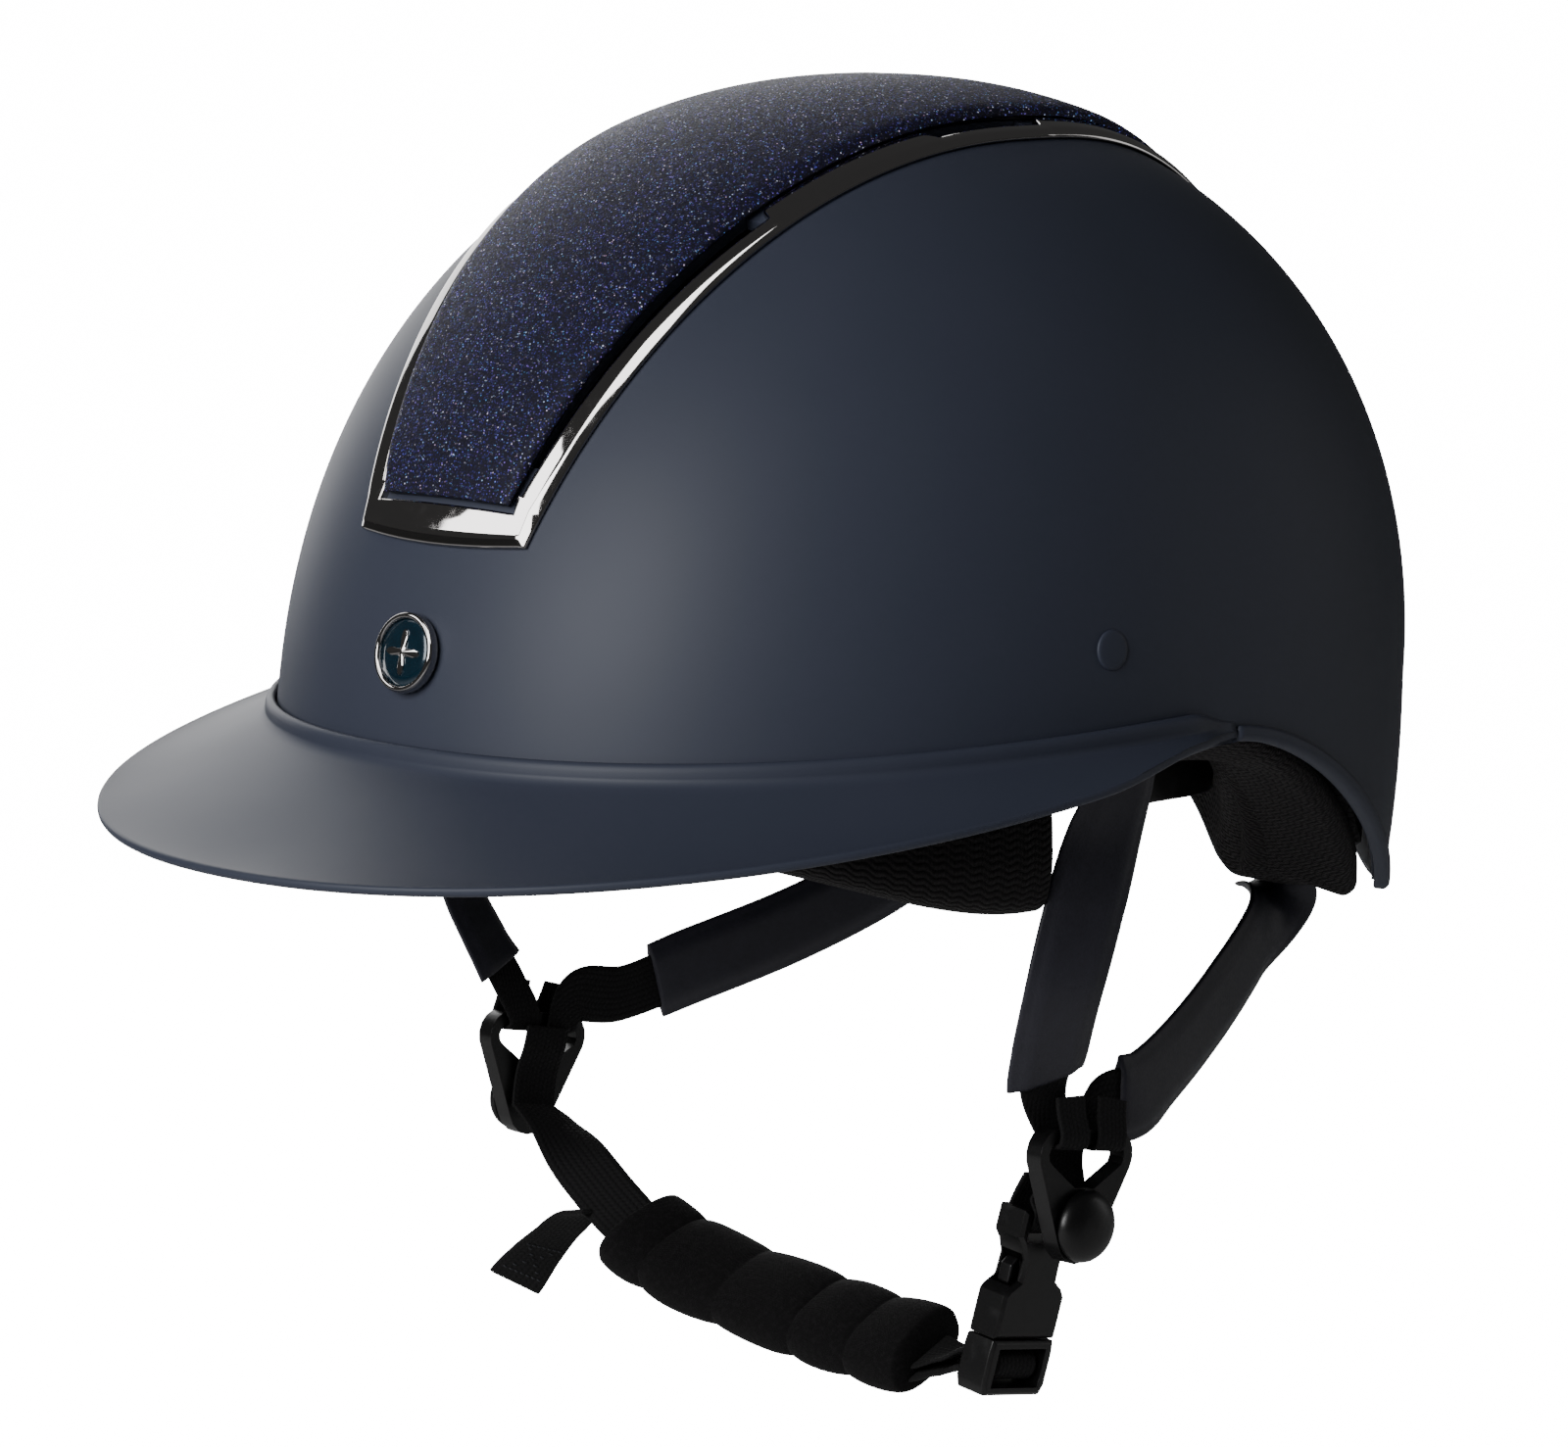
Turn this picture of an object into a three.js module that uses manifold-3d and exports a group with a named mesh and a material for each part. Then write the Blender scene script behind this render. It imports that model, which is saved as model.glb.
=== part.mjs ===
// Riding helmet: hard shell with a wide peak, vented crown panel, impact liner, comfort liner,
// fit cradle and a four-point harness with a side-release buckle.
// Millimetres, +Z up, the peak points to -Y and the wearer's left is +X.
// The origin is the middle of the head opening, in the plane of the headband.
import * as THREE from 'three';
import { mergeVertices } from 'three/addons/utils/BufferGeometryUtils.js';
import Module from 'manifold-3d';

const wasm = await Module();
wasm.setup();

// ---------------------------------------------------------------- driving dimensions
const GAP = 0.45;
const SHELL = {
  halfWidth: 112, front: 142, rear: 154, height: 144.5, skirt: 206, lean: 0.1,
  planFront: 2.2, planRear: 2.57, profileFront: 2.16, profileRear: 1.79, profileSide: 2.3,
};
const CAVITY = {
  halfWidth: 82, front: 106, rear: 106, height: 116, skirt: 260, lean: 0.06,
  planFront: 2.2, planRear: 2.3, profileFront: 2.2, profileRear: 2.0, profileSide: 2.2,
};
const SHELL_WALL = 3;
const STRAP_SPACE = 3.4;
const PAD_THICKNESS = 6.5;

const SEAM_HEIGHT = 3;
const ARCH_START = 11;
const ARCH_END = 108;
const NAPE_DROP = 52;
const NAPE_SCOOP = 17;
const BRIM = { halfWidth: 127.4, length: 168.7, centre: -26.3, power: 2.12, wall: 2.6, fadeAngle: 68, endAngle: 97 };

const TRIM = { cornerAngle: 21.3, endAngle: 146, crownAngle: 95, cornerHalf: 26, crownHalf: 50 };
const PANEL_INSET = 8.2;
const PANEL_RISE = 3.7;
const CARRIER_RISE = 1.1;
const PANEL_ROWS = 21;
const VENTS = [[29, 61], [84.5, 98.5]];

const BADGE = { radius: 9, tilt: 10.4, rise: 3.4 };
const PLUG = { radius: 4.6, y: -28, z: 25 };

const HARNESS = { y: -15, z: -105, tilt: THREE.MathUtils.degToRad(12), half: 90 };
const WEB = { width: 15, thickness: 1.3 };
const COVER = { width: 21, thickness: 3.8 };
const RING = { thickness: 4.4, bar: 3.2 };
const BUCKLE = { x: 77.5, z: -36, lean: THREE.MathUtils.degToRad(7.1), thickness: 8.8 };
const PAD = { width: 27, thickness: 15.5, start: 0.36, end: 0.825, segments: 5 };
const CRADLE = { thickness: 1.8, height: 18, end: 34, dial: -17 };

const FINISH = {
  shell: new THREE.MeshStandardMaterial({ color: 0x39424f, roughness: 0.62, metalness: 0 }),
  chrome: new THREE.MeshStandardMaterial({ color: 0x6f6c6b, roughness: 0.08, metalness: 1 }),
  glitter: new THREE.MeshStandardMaterial({ color: 0x14152a, roughness: 0.5, metalness: 0.3 }),
  plastic: new THREE.MeshStandardMaterial({ color: 0x1d1c1e, roughness: 0.42, metalness: 0 }),
  enamel: new THREE.MeshStandardMaterial({ color: 0x10273c, roughness: 0.15, metalness: 0.3 }),
  foam: new THREE.MeshStandardMaterial({ color: 0x161617, roughness: 0.9, metalness: 0 }),
  mesh: new THREE.MeshStandardMaterial({ color: 0x242021, roughness: 0.95, metalness: 0 }),
  leather: new THREE.MeshStandardMaterial({ color: 0x20202b, roughness: 0.55, metalness: 0 }),
  webbing: new THREE.MeshStandardMaterial({ color: 0x131214, roughness: 0.9, metalness: 0 }),
};

const helmet = new THREE.Group();

// ---------------------------------------------------------------- small tools
const rad = THREE.MathUtils.degToRad;
const lerp = THREE.MathUtils.lerp;
const clamp = THREE.MathUtils.clamp;
const smooth = (t) => THREE.MathUtils.smoothstep(t, 0, 1);
const V = (x, y, z) => new THREE.Vector3(x, y, z);
const range = (n, f) => Array.from({ length: n }, (_, i) => f(i, n > 1 ? i / (n - 1) : 0));

function bisect(low, high, inside) {
  let [a, b] = [low, high];
  for (let i = 0; i < 40; i += 1) {
    const middle = (a + b) / 2;
    if (inside(middle)) a = middle;
    else b = middle;
  }
  return (a + b) / 2;
}

// The signed volume tells which way the faces look, so each solid is turned outwards here.
function solidFrom(points, triangles) {
  const raw = new THREE.BufferGeometry();
  raw.setAttribute('position', new THREE.Float32BufferAttribute(points.flatMap((p) => [p.x, p.y, p.z]), 3));
  raw.setIndex(triangles.flat());
  return tidySolid(raw);
}

function tidySolid(geometry) {
  const bare = new THREE.BufferGeometry();
  bare.setAttribute('position', geometry.getAttribute('position').clone());
  if (geometry.index) bare.setIndex(geometry.index.clone());
  const merged = mergeVertices(bare, 1e-3);
  const at = merged.getAttribute('position');
  const kept = [];
  let volume = 0;
  const [a, b, c] = [V(), V(), V()];
  for (let i = 0; i < merged.index.count; i += 3) {
    const ids = [0, 1, 2].map((k) => merged.index.getX(i + k));
    if (ids[0] === ids[1] || ids[1] === ids[2] || ids[2] === ids[0]) continue;
    a.fromBufferAttribute(at, ids[0]);
    b.fromBufferAttribute(at, ids[1]);
    c.fromBufferAttribute(at, ids[2]);
    volume += a.dot(b.cross(c));
    kept.push(ids);
  }
  const turned = volume < 0 ? kept.map(([i, j, k]) => [i, k, j]) : kept;
  merged.setIndex(turned.flat());
  return merged;
}

function toManifold(geometry) {
  const tidy = tidySolid(geometry);
  return new wasm.Manifold(new wasm.Mesh({
    numProp: 3,
    vertProperties: new Float32Array(tidy.getAttribute('position').array),
    triVerts: new Uint32Array(tidy.index.array),
  }));
}

function fromManifold(solid) {
  const mesh = solid.getMesh();
  const geometry = new THREE.BufferGeometry();
  geometry.setAttribute('position', new THREE.BufferAttribute(new Float32Array(mesh.vertProperties), 3));
  geometry.setIndex(Array.from(mesh.triVerts));
  return tidySolid(geometry);
}

function cut(geometry, tools) {
  return fromManifold(tools.reduce((left, tool) => left.subtract(toManifold(tool)), toManifold(geometry)));
}

function join(geometries) {
  return fromManifold(geometries.slice(1).reduce((all, g) => all.add(toManifold(g)), toManifold(geometries[0])));
}

function add(name, geometry, material) {
  const mesh = new THREE.Mesh(geometry, material);
  mesh.name = name;
  helmet.add(mesh);
  return mesh;
}

const addSolid = (name, geometry, material) => add(name, tidySolid(geometry), material);

// A loop's own plane, for closing its end with triangles.
function flatLoop(loop) {
  const normal = V();
  loop.forEach((p, i) => {
    const q = loop[(i + 1) % loop.length];
    normal.add(V((p.y - q.y) * (p.z + q.z), (p.z - q.z) * (p.x + q.x), (p.x - q.x) * (p.y + q.y)));
  });
  normal.normalize();
  const u = V(0, 0, 1).cross(normal);
  if (u.length() < 0.1) u.set(1, 0, 0);
  u.normalize();
  const w = normal.clone().cross(u);
  return loop.map((p) => new THREE.Vector2(p.dot(u), p.dot(w)));
}

// Loops carried one after another: closed goes round to the first loop, open gets two end faces.
function loft(loops, closed = false) {
  const n = loops[0].length;
  const points = loops.flat();
  const triangles = [];
  const last = closed ? loops.length : loops.length - 1;
  for (let i = 0; i < last; i += 1) {
    const [p, q] = [i * n, ((i + 1) % loops.length) * n];
    for (let j = 0; j < n; j += 1) {
      const k = (j + 1) % n;
      triangles.push([p + j, p + k, q + k], [p + j, q + k, q + j]);
    }
  }
  if (!closed) {
    for (const [index, flip] of [[0, true], [loops.length - 1, false]]) {
      const loop = loops[index];
      if (loop[0].distanceTo(loop[Math.floor(n / 2)]) < 1e-6) continue;
      const faces = THREE.ShapeUtils.triangulateShape(flatLoop(loop), []);
      const signed = faces.map(([a, b, c]) => [a + index * n, b + index * n, c + index * n]);
      triangles.push(...signed.map(([a, b, c]) => (flip ? [a, c, b] : [a, b, c])));
    }
  }
  return solidFrom(points, triangles);
}

// A tube with a wall: outer and inner loops of the same length, open at both ends.
function sleeve(outer, inner) {
  const loops = [...outer, ...inner.slice().reverse()];
  return loft(loops, true);
}

// ---------------------------------------------------------------- the oval dome
const shrink = (dome, by) => ({
  ...dome,
  halfWidth: dome.halfWidth - by,
  front: dome.front - by,
  rear: dome.rear - by,
  height: dome.height - by,
});

// Below 1 inside the dome and above 1 outside; doubling a point doubles it.
function domeSize(dome, p) {
  const y = p.y - dome.lean * Math.max(p.z, 0);
  const [length, plan, profile] = y < 0
    ? [dome.front, dome.planFront, dome.profileFront]
    : [dome.rear, dome.planRear, dome.profileRear];
  const along = (Math.abs(y) / length) ** plan;
  const across = (Math.abs(p.x) / dome.halfWidth) ** plan;
  const total = along + across;
  const share = total > 1e-12 ? along / total : 0;
  const power = lerp(dome.profileSide, profile, share);
  const height = p.z > 0 ? dome.height : dome.skirt;
  return (total ** (power / plan) + (Math.abs(p.z) / height) ** power) ** (1 / power);
}

function domeNormal(dome, p) {
  const step = 0.5;
  const slope = (d) => domeSize(dome, p.clone().add(d)) - domeSize(dome, p.clone().sub(d));
  return V(slope(V(step, 0, 0)), slope(V(0, step, 0)), slope(V(0, 0, step))).normalize();
}

// Turned from the front (-Y) towards +X by the angle, at one height.
function atHeight(dome, angle, z) {
  const [sx, sy] = [Math.sin(angle), -Math.cos(angle)];
  const r = bisect(0, 260, (t) => domeSize(dome, V(sx * t, sy * t, z)) < 1);
  return V(sx * r, sy * r, z);
}

function upTheWall(dome, angle, rimZ, u) {
  const rim = atHeight(dome, angle, rimZ);
  const low = Math.atan2(rimZ, Math.hypot(rim.x, rim.y));
  const rise = lerp(low, Math.PI / 2, u);
  const way = V(Math.sin(angle) * Math.cos(rise), -Math.cos(angle) * Math.cos(rise), Math.sin(rise));
  return way.divideScalar(domeSize(dome, way));
}

// Over the crown: x from the middle and the angle up from the front, raised off the surface.
function overCrown(x, angle, rise) {
  const [cy, cz] = [-Math.cos(angle), Math.sin(angle)];
  const r = bisect(0, 260, (t) => domeSize(SHELL, V(x, cy * t, cz * t)) < 1);
  const p = V(x, cy * r, cz * r);
  return p.addScaledVector(domeNormal(SHELL, p), rise);
}

// ---------------------------------------------------------------- rims
// The rim runs level under the peak, arches over the ear, drops beside the nape and is scooped up behind it.
function rimHeight(y, start, end) {
  const t = clamp((y - start) / (end - start), 0, 1);
  return 2 - NAPE_DROP * t ** 1.75;
}

function rimAt(dome, angle, start = ARCH_START, end = ARCH_END) {
  let z = 0;
  const fromBack = Math.PI - Math.abs(wrap(angle));
  const scoop = NAPE_SCOOP * smooth((rad(31) - fromBack) / rad(21));
  for (let i = 0; i < 6; i += 1) z = rimHeight(atHeight(dome, angle, z).y, start, end);
  return z + scoop;
}

const seamHeight = (angle) => SEAM_HEIGHT + 2.2 * Math.abs(Math.sin(angle)) ** 2;

function domeShell(outer, inner, rimOuter, rimInner, columns, rows) {
  const angles = range(columns, (i) => (i / columns) * 2 * Math.PI);
  const up = range(rows, (i, t) => t);
  const rings = up.map((u) => angles.map((a) => upTheWall(outer, a, rimOuter(a), u)));
  const back = up.map((u) => angles.map((a) => upTheWall(inner, a, rimInner(a), u))).reverse();
  return loft([...rings.slice().reverse(), ...back.reverse()]);
}

// ---------------------------------------------------------------- crown trim and panel
function trimHalf(angle) {
  const t = (THREE.MathUtils.radToDeg(angle) - TRIM.cornerAngle) / (TRIM.crownAngle - TRIM.cornerAngle);
  return TRIM.cornerHalf + (TRIM.crownHalf - TRIM.cornerHalf) * Math.sin((t * Math.PI) / 2);
}

// The rail is a slim bright strip beside each vent and widens into a tab between vents.
function railWidth(degrees) {
  const slim = lerp(7, 4.6, clamp((degrees - 25) / 35, 0, 1));
  const wide = PANEL_INSET - 0.4;
  if (degrees < 30) return slim;
  const nearVent = VENTS.some(([a, b]) => degrees > a - 1 && degrees < b + 1);
  return nearVent ? slim : wide;
}

function trimSection(outer, inner) {
  const at = (share, rise) => {
    const x = lerp(outer.x, inner.x, share);
    const angle = lerp(outer.angle, inner.angle, share);
    return overCrown(x, angle, rise);
  };
  return [at(0, GAP), at(0.04, 1.3), at(0.3, 2.1), at(1, 1.8), at(1, GAP)];
}

function trimFrame() {
  const front = rad(TRIM.cornerAngle);
  const barTop = rad(24.3);
  const side = (sign) => {
    const stops = [24, 28, 30.2, 36, 42, 48, 54, 59.6, 61.8, 64, 69, 74, 79, 83, 84.8, 89, 93.5, 98, 99.8, 104,
      109, 114, 119, 124, 129, 134, 140];
    return stops.map((d) => ({
      outer: { x: sign * trimHalf(rad(d)), angle: rad(d) },
      inner: { x: sign * (trimHalf(rad(d)) - railWidth(d)), angle: rad(Math.max(d, 26)) },
    }));
  };
  const bar = (outerAngle, innerAngle, half, innerHalf, sag) => range(7, (i, t) => {
    const s = lerp(1, -1, t);
    return {
      outer: { x: s * half, angle: outerAngle - sag * (1 - s * s) },
      inner: { x: s * innerHalf, angle: innerAngle },
    };
  });
  const rear = rad(TRIM.endAngle);
  const rearHalf = trimHalf(rear);
  const frontBar = bar(front, barTop, TRIM.cornerHalf, trimHalf(barTop) - 6.5, rad(0.9));
  const rearBar = bar(rear, rear - rad(3.4), rearHalf, rearHalf - 7, rad(-1.2)).reverse();
  const stations = [...frontBar, ...side(-1), ...rearBar, ...side(1).reverse()];
  return loft(stations.map((s) => trimSection(s.outer, s.inner)), true);
}

function crownStrip(halfAt, from, to, across, riseTop, riseBottom) {
  const loops = range(PANEL_ROWS, (i, t) => {
    const angle = lerp(from, to, t);
    const half = halfAt(angle);
    const top = across.map(([share, rise]) => overCrown(share * half, angle, riseTop(t) * rise + GAP));
    const low = across.slice().reverse().map(([share]) => overCrown(share * half, angle, riseBottom));
    return [...top, ...low];
  });
  return loft(loops);
}

const PANEL_FROM = rad(24.9);
const PANEL_TO = rad(141.6);
const panelHalf = (angle) => trimHalf(angle) - PANEL_INSET;
const endRound = (t) => lerp(0.84, 1, smooth(Math.min(t, 1 - t) * 20));

function ventSlot(sign, [from, to]) {
  return loft(range(9, (i, t) => {
    const angle = rad(lerp(from, to, t));
    const half = trimHalf(angle);
    const [near, far] = [half - 5.2, half - PANEL_INSET - 1.6];
    return [
      overCrown(sign * near, angle, 6),
      overCrown(sign * far, angle, 6),
      overCrown(sign * (far - 4), angle, -52),
      overCrown(sign * (near - 4), angle, -52),
    ];
  }));
}

const ventSlots = () => [-1, 1].flatMap((sign) => VENTS.map((v) => ventSlot(sign, v)));

// ---------------------------------------------------------------- peak
function brimRadius(angle) {
  const inside = (t) => {
    const x = Math.abs(Math.sin(angle) * t) / BRIM.halfWidth;
    const y = Math.abs(-Math.cos(angle) * t - BRIM.centre) / BRIM.length;
    return x ** BRIM.power + y ** BRIM.power < 1;
  };
  return bisect(0, 300, inside);
}

function brimSection(angle) {
  const seam = seamHeight(angle);
  const wall = atHeight(SHELL, angle, seam);
  const way = V(wall.x, wall.y, 0).normalize();
  const r0 = Math.hypot(wall.x, wall.y);
  const full = brimRadius(angle) - r0;
  const fade = smooth((Math.abs(THREE.MathUtils.radToDeg(angle)) - BRIM.fadeAngle) / (BRIM.endAngle - BRIM.fadeAngle));
  const width = lerp(full, 3.6, fade);
  const edgeY = -Math.cos(angle) * (r0 + full);
  const turn = clamp((BRIM.centre - edgeY) / BRIM.length, -1, 1);
  const openEdge = 2.7 - 19 * turn + 1.5 * (2 * turn * turn - 1);
  const edge = lerp(openEdge, seam - 3.2, fade);
  const at = (out, z) => V(way.x * (r0 + out), way.y * (r0 + out), z);
  const flare = (s) => lerp(edge, seam - 1.6, (1 - s) ** 1.45);
  const top = [0.12, 0.3, 0.55, 0.8].map((s) => at(lerp(2.9, width, s), flare(s)));
  const low = [0.8, 0.45, 0.15].map((s) => at(lerp(2.0, width - 1.6, s), flare(s) - BRIM.wall));
  return [
    at(GAP, seam + 2.3),
    at(1.7, seam + 2.5),
    at(2.6, seam + 1.4),
    at(2.7, seam - 1.2),
    ...top,
    at(width - 0.5, edge + 0.1),
    at(width, edge - 0.9),
    at(width - 0.7, edge - 2),
    ...low,
    at(GAP + 0.25, seam - 2 - BRIM.wall),
  ];
}

function brim() {
  const end = rad(BRIM.endAngle);
  return loft(range(37, (i, t) => brimSection(lerp(-end, end, t))));
}

// A slim bead along the ear arches and the nape.
function edgeTrim() {
  const start = rad(97.5);
  return loft(range(23, (i, t) => {
    const angle = lerp(start, 2 * Math.PI - start, t);
    const z = rimAt(SHELL, angle);
    const outer = atHeight(SHELL, angle, z);
    const out = V(outer.x, outer.y, 0).normalize();
    const at = (o, up) => outer.clone().addScaledVector(out, o).add(V(0, 0, up));
    return [at(0.8, 1.4), at(1.5, 0.6), at(1.6, -1.4), at(0.4, -2.6), at(-2.6, -2.3), at(-2.8, -0.7), at(0.8, -0.7)];
  }));
}

// ---------------------------------------------------------------- liners
const LINER_OUTER = shrink(SHELL, SHELL_WALL + STRAP_SPACE);
const LINER_INNER = shrink(CAVITY, -PAD_THICKNESS - GAP);

const flangeTop = (angle) => {
  const nearArch = smooth((Math.abs(wrap(angle)) - rad(63)) / rad(10));
  return lerp(-14, Math.min(rimAt(LINER_OUTER, angle) - 1, -1), nearArch);
};

function wrap(angle) {
  return Math.atan2(Math.sin(angle), Math.cos(angle));
}

const innerRim = (angle) => {
  const nearArch = smooth((Math.abs(wrap(angle)) - rad(63)) / rad(10));
  return lerp(-14, Math.min(rimAt(LINER_INNER, angle, 5, 84) - 1, -5), nearArch);
};

function impactLiner() {
  const low = (rim) => (a) => rim(a) + 5;
  const body = domeShell(LINER_OUTER, LINER_INNER, low(flangeTop), low(innerRim), 36, 7);
  const recess = new THREE.BoxGeometry(76, 26, 50);
  recess.translate(0, 112, -27);
  return cut(body, [...ventSlots(), recess, ...strapSlots()]);
}

const PAD_BACK = shrink(LINER_INNER, 1.9);
const reach = (dome, angle, z) => {
  const p = atHeight(dome, angle, z);
  return Math.hypot(p.x, p.y);
};
const around = (angle, r, z) => V(Math.sin(angle) * r, -Math.cos(angle) * r, z);

// Front pad: a wall against the brow and temples with a thick rolled lower edge.
function browSection(angle) {
  const side = smooth((Math.abs(angle) - rad(20)) / rad(48));
  const low = lerp(-17, -36, side);
  const ledge = -9.5 - GAP;
  const inner = reach(CAVITY, angle, -8);
  const outer = reach(LINER_OUTER, angle, -14) - 1;
  const at = (r, z) => around(angle, r, z);
  return [
    at(reach(PAD_BACK, angle, 22), 22), at(reach(CAVITY, angle, 22) + 1, 21), at(inner - 0.4, 2),
    at(inner, low + 7), at(inner + 5, low + 1), at(lerp(inner, outer, 0.6), low), at(outer - 3, low + 3),
    at(outer, lerp(low, ledge, 0.45)), at(outer - 0.5, ledge), at(reach(PAD_BACK, angle, ledge), ledge),
    at(reach(PAD_BACK, angle, 8), 8),
  ];
}

const BROW_END = rad(69.5);

function browPad() {
  return loft(range(25, (i, t) => browSection(lerp(-BROW_END, BROW_END, t))));
}

// Rear pad: from ear arch to ear arch round the nape, wrapping the liner's cut edge.
function napeSection(angle) {
  const outerLow = rimAt(SHELL, angle) - 3;
  const innerLow = Math.min(rimAt(CAVITY, angle, 5, 84) + 0.5, -9);
  const ledgeOut = flangeTop(angle) + 2;
  const ledgeIn = innerRim(angle) + 2;
  const ri = reach(CAVITY, angle, innerLow);
  const ro = reach(LINER_OUTER, angle, outerLow) + 0.6;
  const at = (r, z) => around(angle, r, z);
  return [
    at(reach(PAD_BACK, angle, 18), 18), at(reach(CAVITY, angle, 17) + 0.6, 17), at(ri, 0), at(ri, innerLow + 5),
    at(ri + 4, innerLow - 0.5), at(lerp(ri, ro, 0.5), lerp(innerLow, outerLow, 0.5) - 2),
    at(ro - 3, outerLow - 1.2), at(ro, outerLow + 1), at(reach(LINER_OUTER, angle, ledgeOut) - 0.5, ledgeOut),
    at(reach(PAD_BACK, angle, ledgeIn), ledgeIn), at(reach(PAD_BACK, angle, 8), 8),
  ];
}

function napePad() {
  const start = rad(98.5);
  const pad = loft(range(29, (i, t) => napeSection(lerp(start, 2 * Math.PI - start, t))));
  const recess = new THREE.BoxGeometry(66, 40, 34);
  recess.translate(0, 116, -22);
  return cut(pad, [recess, ...strapSlots()]);
}

// Crown pad: a shallow cushion held to the top of the impact liner, with four lobes.
function crownPad() {
  const outer = shrink(PAD_BACK, 0.8);
  const columns = 24;
  const at = (dome, i, u) => {
    const angle = (i / columns) * 2 * Math.PI;
    const reach = rad(lerp(24, 36, 0.5 + 0.5 * Math.cos(4 * angle)));
    const fall = Math.PI / 2 - reach * u;
    const way = V(Math.sin(angle) * Math.cos(fall), -Math.cos(angle) * Math.cos(fall), Math.sin(fall));
    return way.divideScalar(domeSize(dome, way));
  };
  const ring = (dome, u) => range(columns, (i) => at(dome, i, u));
  return loft([ring(outer, 0), ring(outer, 0.35), ring(outer, 0.7), ring(outer, 1), ring(CAVITY, 0.93),
    ring(CAVITY, 0.5), ring(CAVITY, 0)]);
}

// ---------------------------------------------------------------- badge and plugs
function placeOn(geometry, point, normal) {
  geometry.applyQuaternion(new THREE.Quaternion().setFromUnitVectors(V(0, 1, 0), normal));
  geometry.translate(point.x, point.y, point.z);
  return geometry;
}

function turned(profile, segments) {
  return new THREE.LatheGeometry(profile.map(([r, h]) => new THREE.Vector2(r, h)), segments);
}

function badge() {
  const seat = overCrown(0, rad(BADGE.tilt), 0);
  const normal = domeNormal(SHELL, seat);
  const r = BADGE.radius;
  const rim = [[0, 0.6], [r - 0.6, 0.6], [r, 1.2], [r, BADGE.rise - 0.5], [r - 0.5, BADGE.rise],
    [r - 1.2, BADGE.rise - 0.1], [r - 1.5, BADGE.rise - 0.8], [r - 1.5, 1.4], [0, 1.4]];
  addSolid('badge_rim', placeOn(turned(rim, 24), seat, normal), FINISH.chrome);
  const face = [[0, 1.4 + GAP], [r - 1.9, 1.4 + GAP], [r - 1.9, BADGE.rise - 0.9], [0, BADGE.rise - 0.8]];
  addSolid('badge_face', placeOn(turned(face, 24), seat, normal), FINISH.enamel);
  const star = new THREE.Shape(range(8, (i) => {
    const reach = i % 2 ? 1.5 : 4.6;
    return new THREE.Vector2(reach * Math.sin((i * Math.PI) / 4), reach * Math.cos((i * Math.PI) / 4));
  }));
  const emblem = new THREE.ExtrudeGeometry(star, { depth: 0.6, bevelEnabled: false });
  emblem.rotateX(-Math.PI / 2);
  emblem.translate(0, BADGE.rise - 0.5, 0);
  addSolid('badge_emblem', placeOn(emblem, seat, normal), FINISH.chrome);
}

function sidePlugs() {
  for (const [side, sign] of [['left', 1], ['right', -1]]) {
    const angle = Math.atan2(sign * 111, -PLUG.y);
    const seat = atHeight(SHELL, angle, PLUG.z);
    const normal = domeNormal(SHELL, seat);
    const r = PLUG.radius;
    const cap = [[0, GAP + 0.1], [r, GAP + 0.3], [r, 0.8], [r - 0.7, 1.3], [0, 1.6]];
    addSolid(`side_plug_${side}`, placeOn(turned(cap, 24), seat, normal), FINISH.shell);
  }
}

// ---------------------------------------------------------------- straps
// Harness plane: x across, a to the rear and b up, leaning forward as the straps hang.
const hang = (x, a, b) => {
  const [c, s] = [Math.cos(HARNESS.tilt), Math.sin(HARNESS.tilt)];
  return V(x, HARNESS.y + c * a + s * b, HARNESS.z - s * a + c * b);
};
const HANG_REAR = hang(0, 1, 0).sub(hang(0, 0, 0));

// Points and the way the strap is wide at each, eased into a smooth run of stations.
function run(stops, steps) {
  const path = new THREE.CatmullRomCurve3(stops.map((s) => s.at), false, 'centripetal');
  const wide = new THREE.CatmullRomCurve3(stops.map((s) => s.wide.clone().normalize()), false, 'catmullrom', 0.2);
  return range(steps, (i, t) => {
    const along = path.getTangent(t).normalize();
    const across = wide.getPoint(t).addScaledVector(along, -wide.getPoint(t).dot(along)).normalize();
    return { at: path.getPoint(t), across, face: across.clone().cross(along).normalize() };
  });
}

function bandLoop(station, width, thickness) {
  const corner = (w, t) => station.at.clone()
    .addScaledVector(station.across, (w * width) / 2)
    .addScaledVector(station.face, (t * thickness) / 2);
  return [corner(-1, -1), corner(1, -1), corner(1, 1), corner(-1, 1)];
}

function softLoop(station, width, thickness) {
  const edge = Math.min(1, (2 * thickness) / width);
  const outline = [[-1, 0], [-1 + edge * 0.5, -1], [0, -1], [1 - edge * 0.5, -1], [1, 0],
    [1 - edge * 0.5, 1], [0, 1], [-1 + edge * 0.5, 1]];
  return outline.map(([w, t]) => station.at.clone()
    .addScaledVector(station.across, (w * width) / 2)
    .addScaledVector(station.face, (t * thickness) / 2));
}

// A square-cornered opening with as many points as the soft outline round it.
function slotLoop(station, width, thickness) {
  const outline = [[-1, 0], [-1, -1], [0, -1], [1, -1], [1, 0], [1, 1], [0, 1], [-1, 1]];
  return outline.map(([w, t]) => station.at.clone()
    .addScaledVector(station.across, (w * width) / 2)
    .addScaledVector(station.face, (t * thickness) / 2));
}

// The width may be a number or a rule that takes the share of the way along.
function band(stations, width, thickness) {
  const widthAt = typeof width === 'number' ? () => width : width;
  return loft(stations.map((s, i) => bandLoop(s, widthAt(i / (stations.length - 1)), thickness)));
}

function coverSleeve(stations) {
  const outer = stations.map((s) => softLoop(s, COVER.width, COVER.thickness));
  const inner = stations.map((s) => slotLoop(s, WEB.width + 1.6, WEB.thickness + 1.1));
  return sleeve(outer, inner);
}

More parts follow.
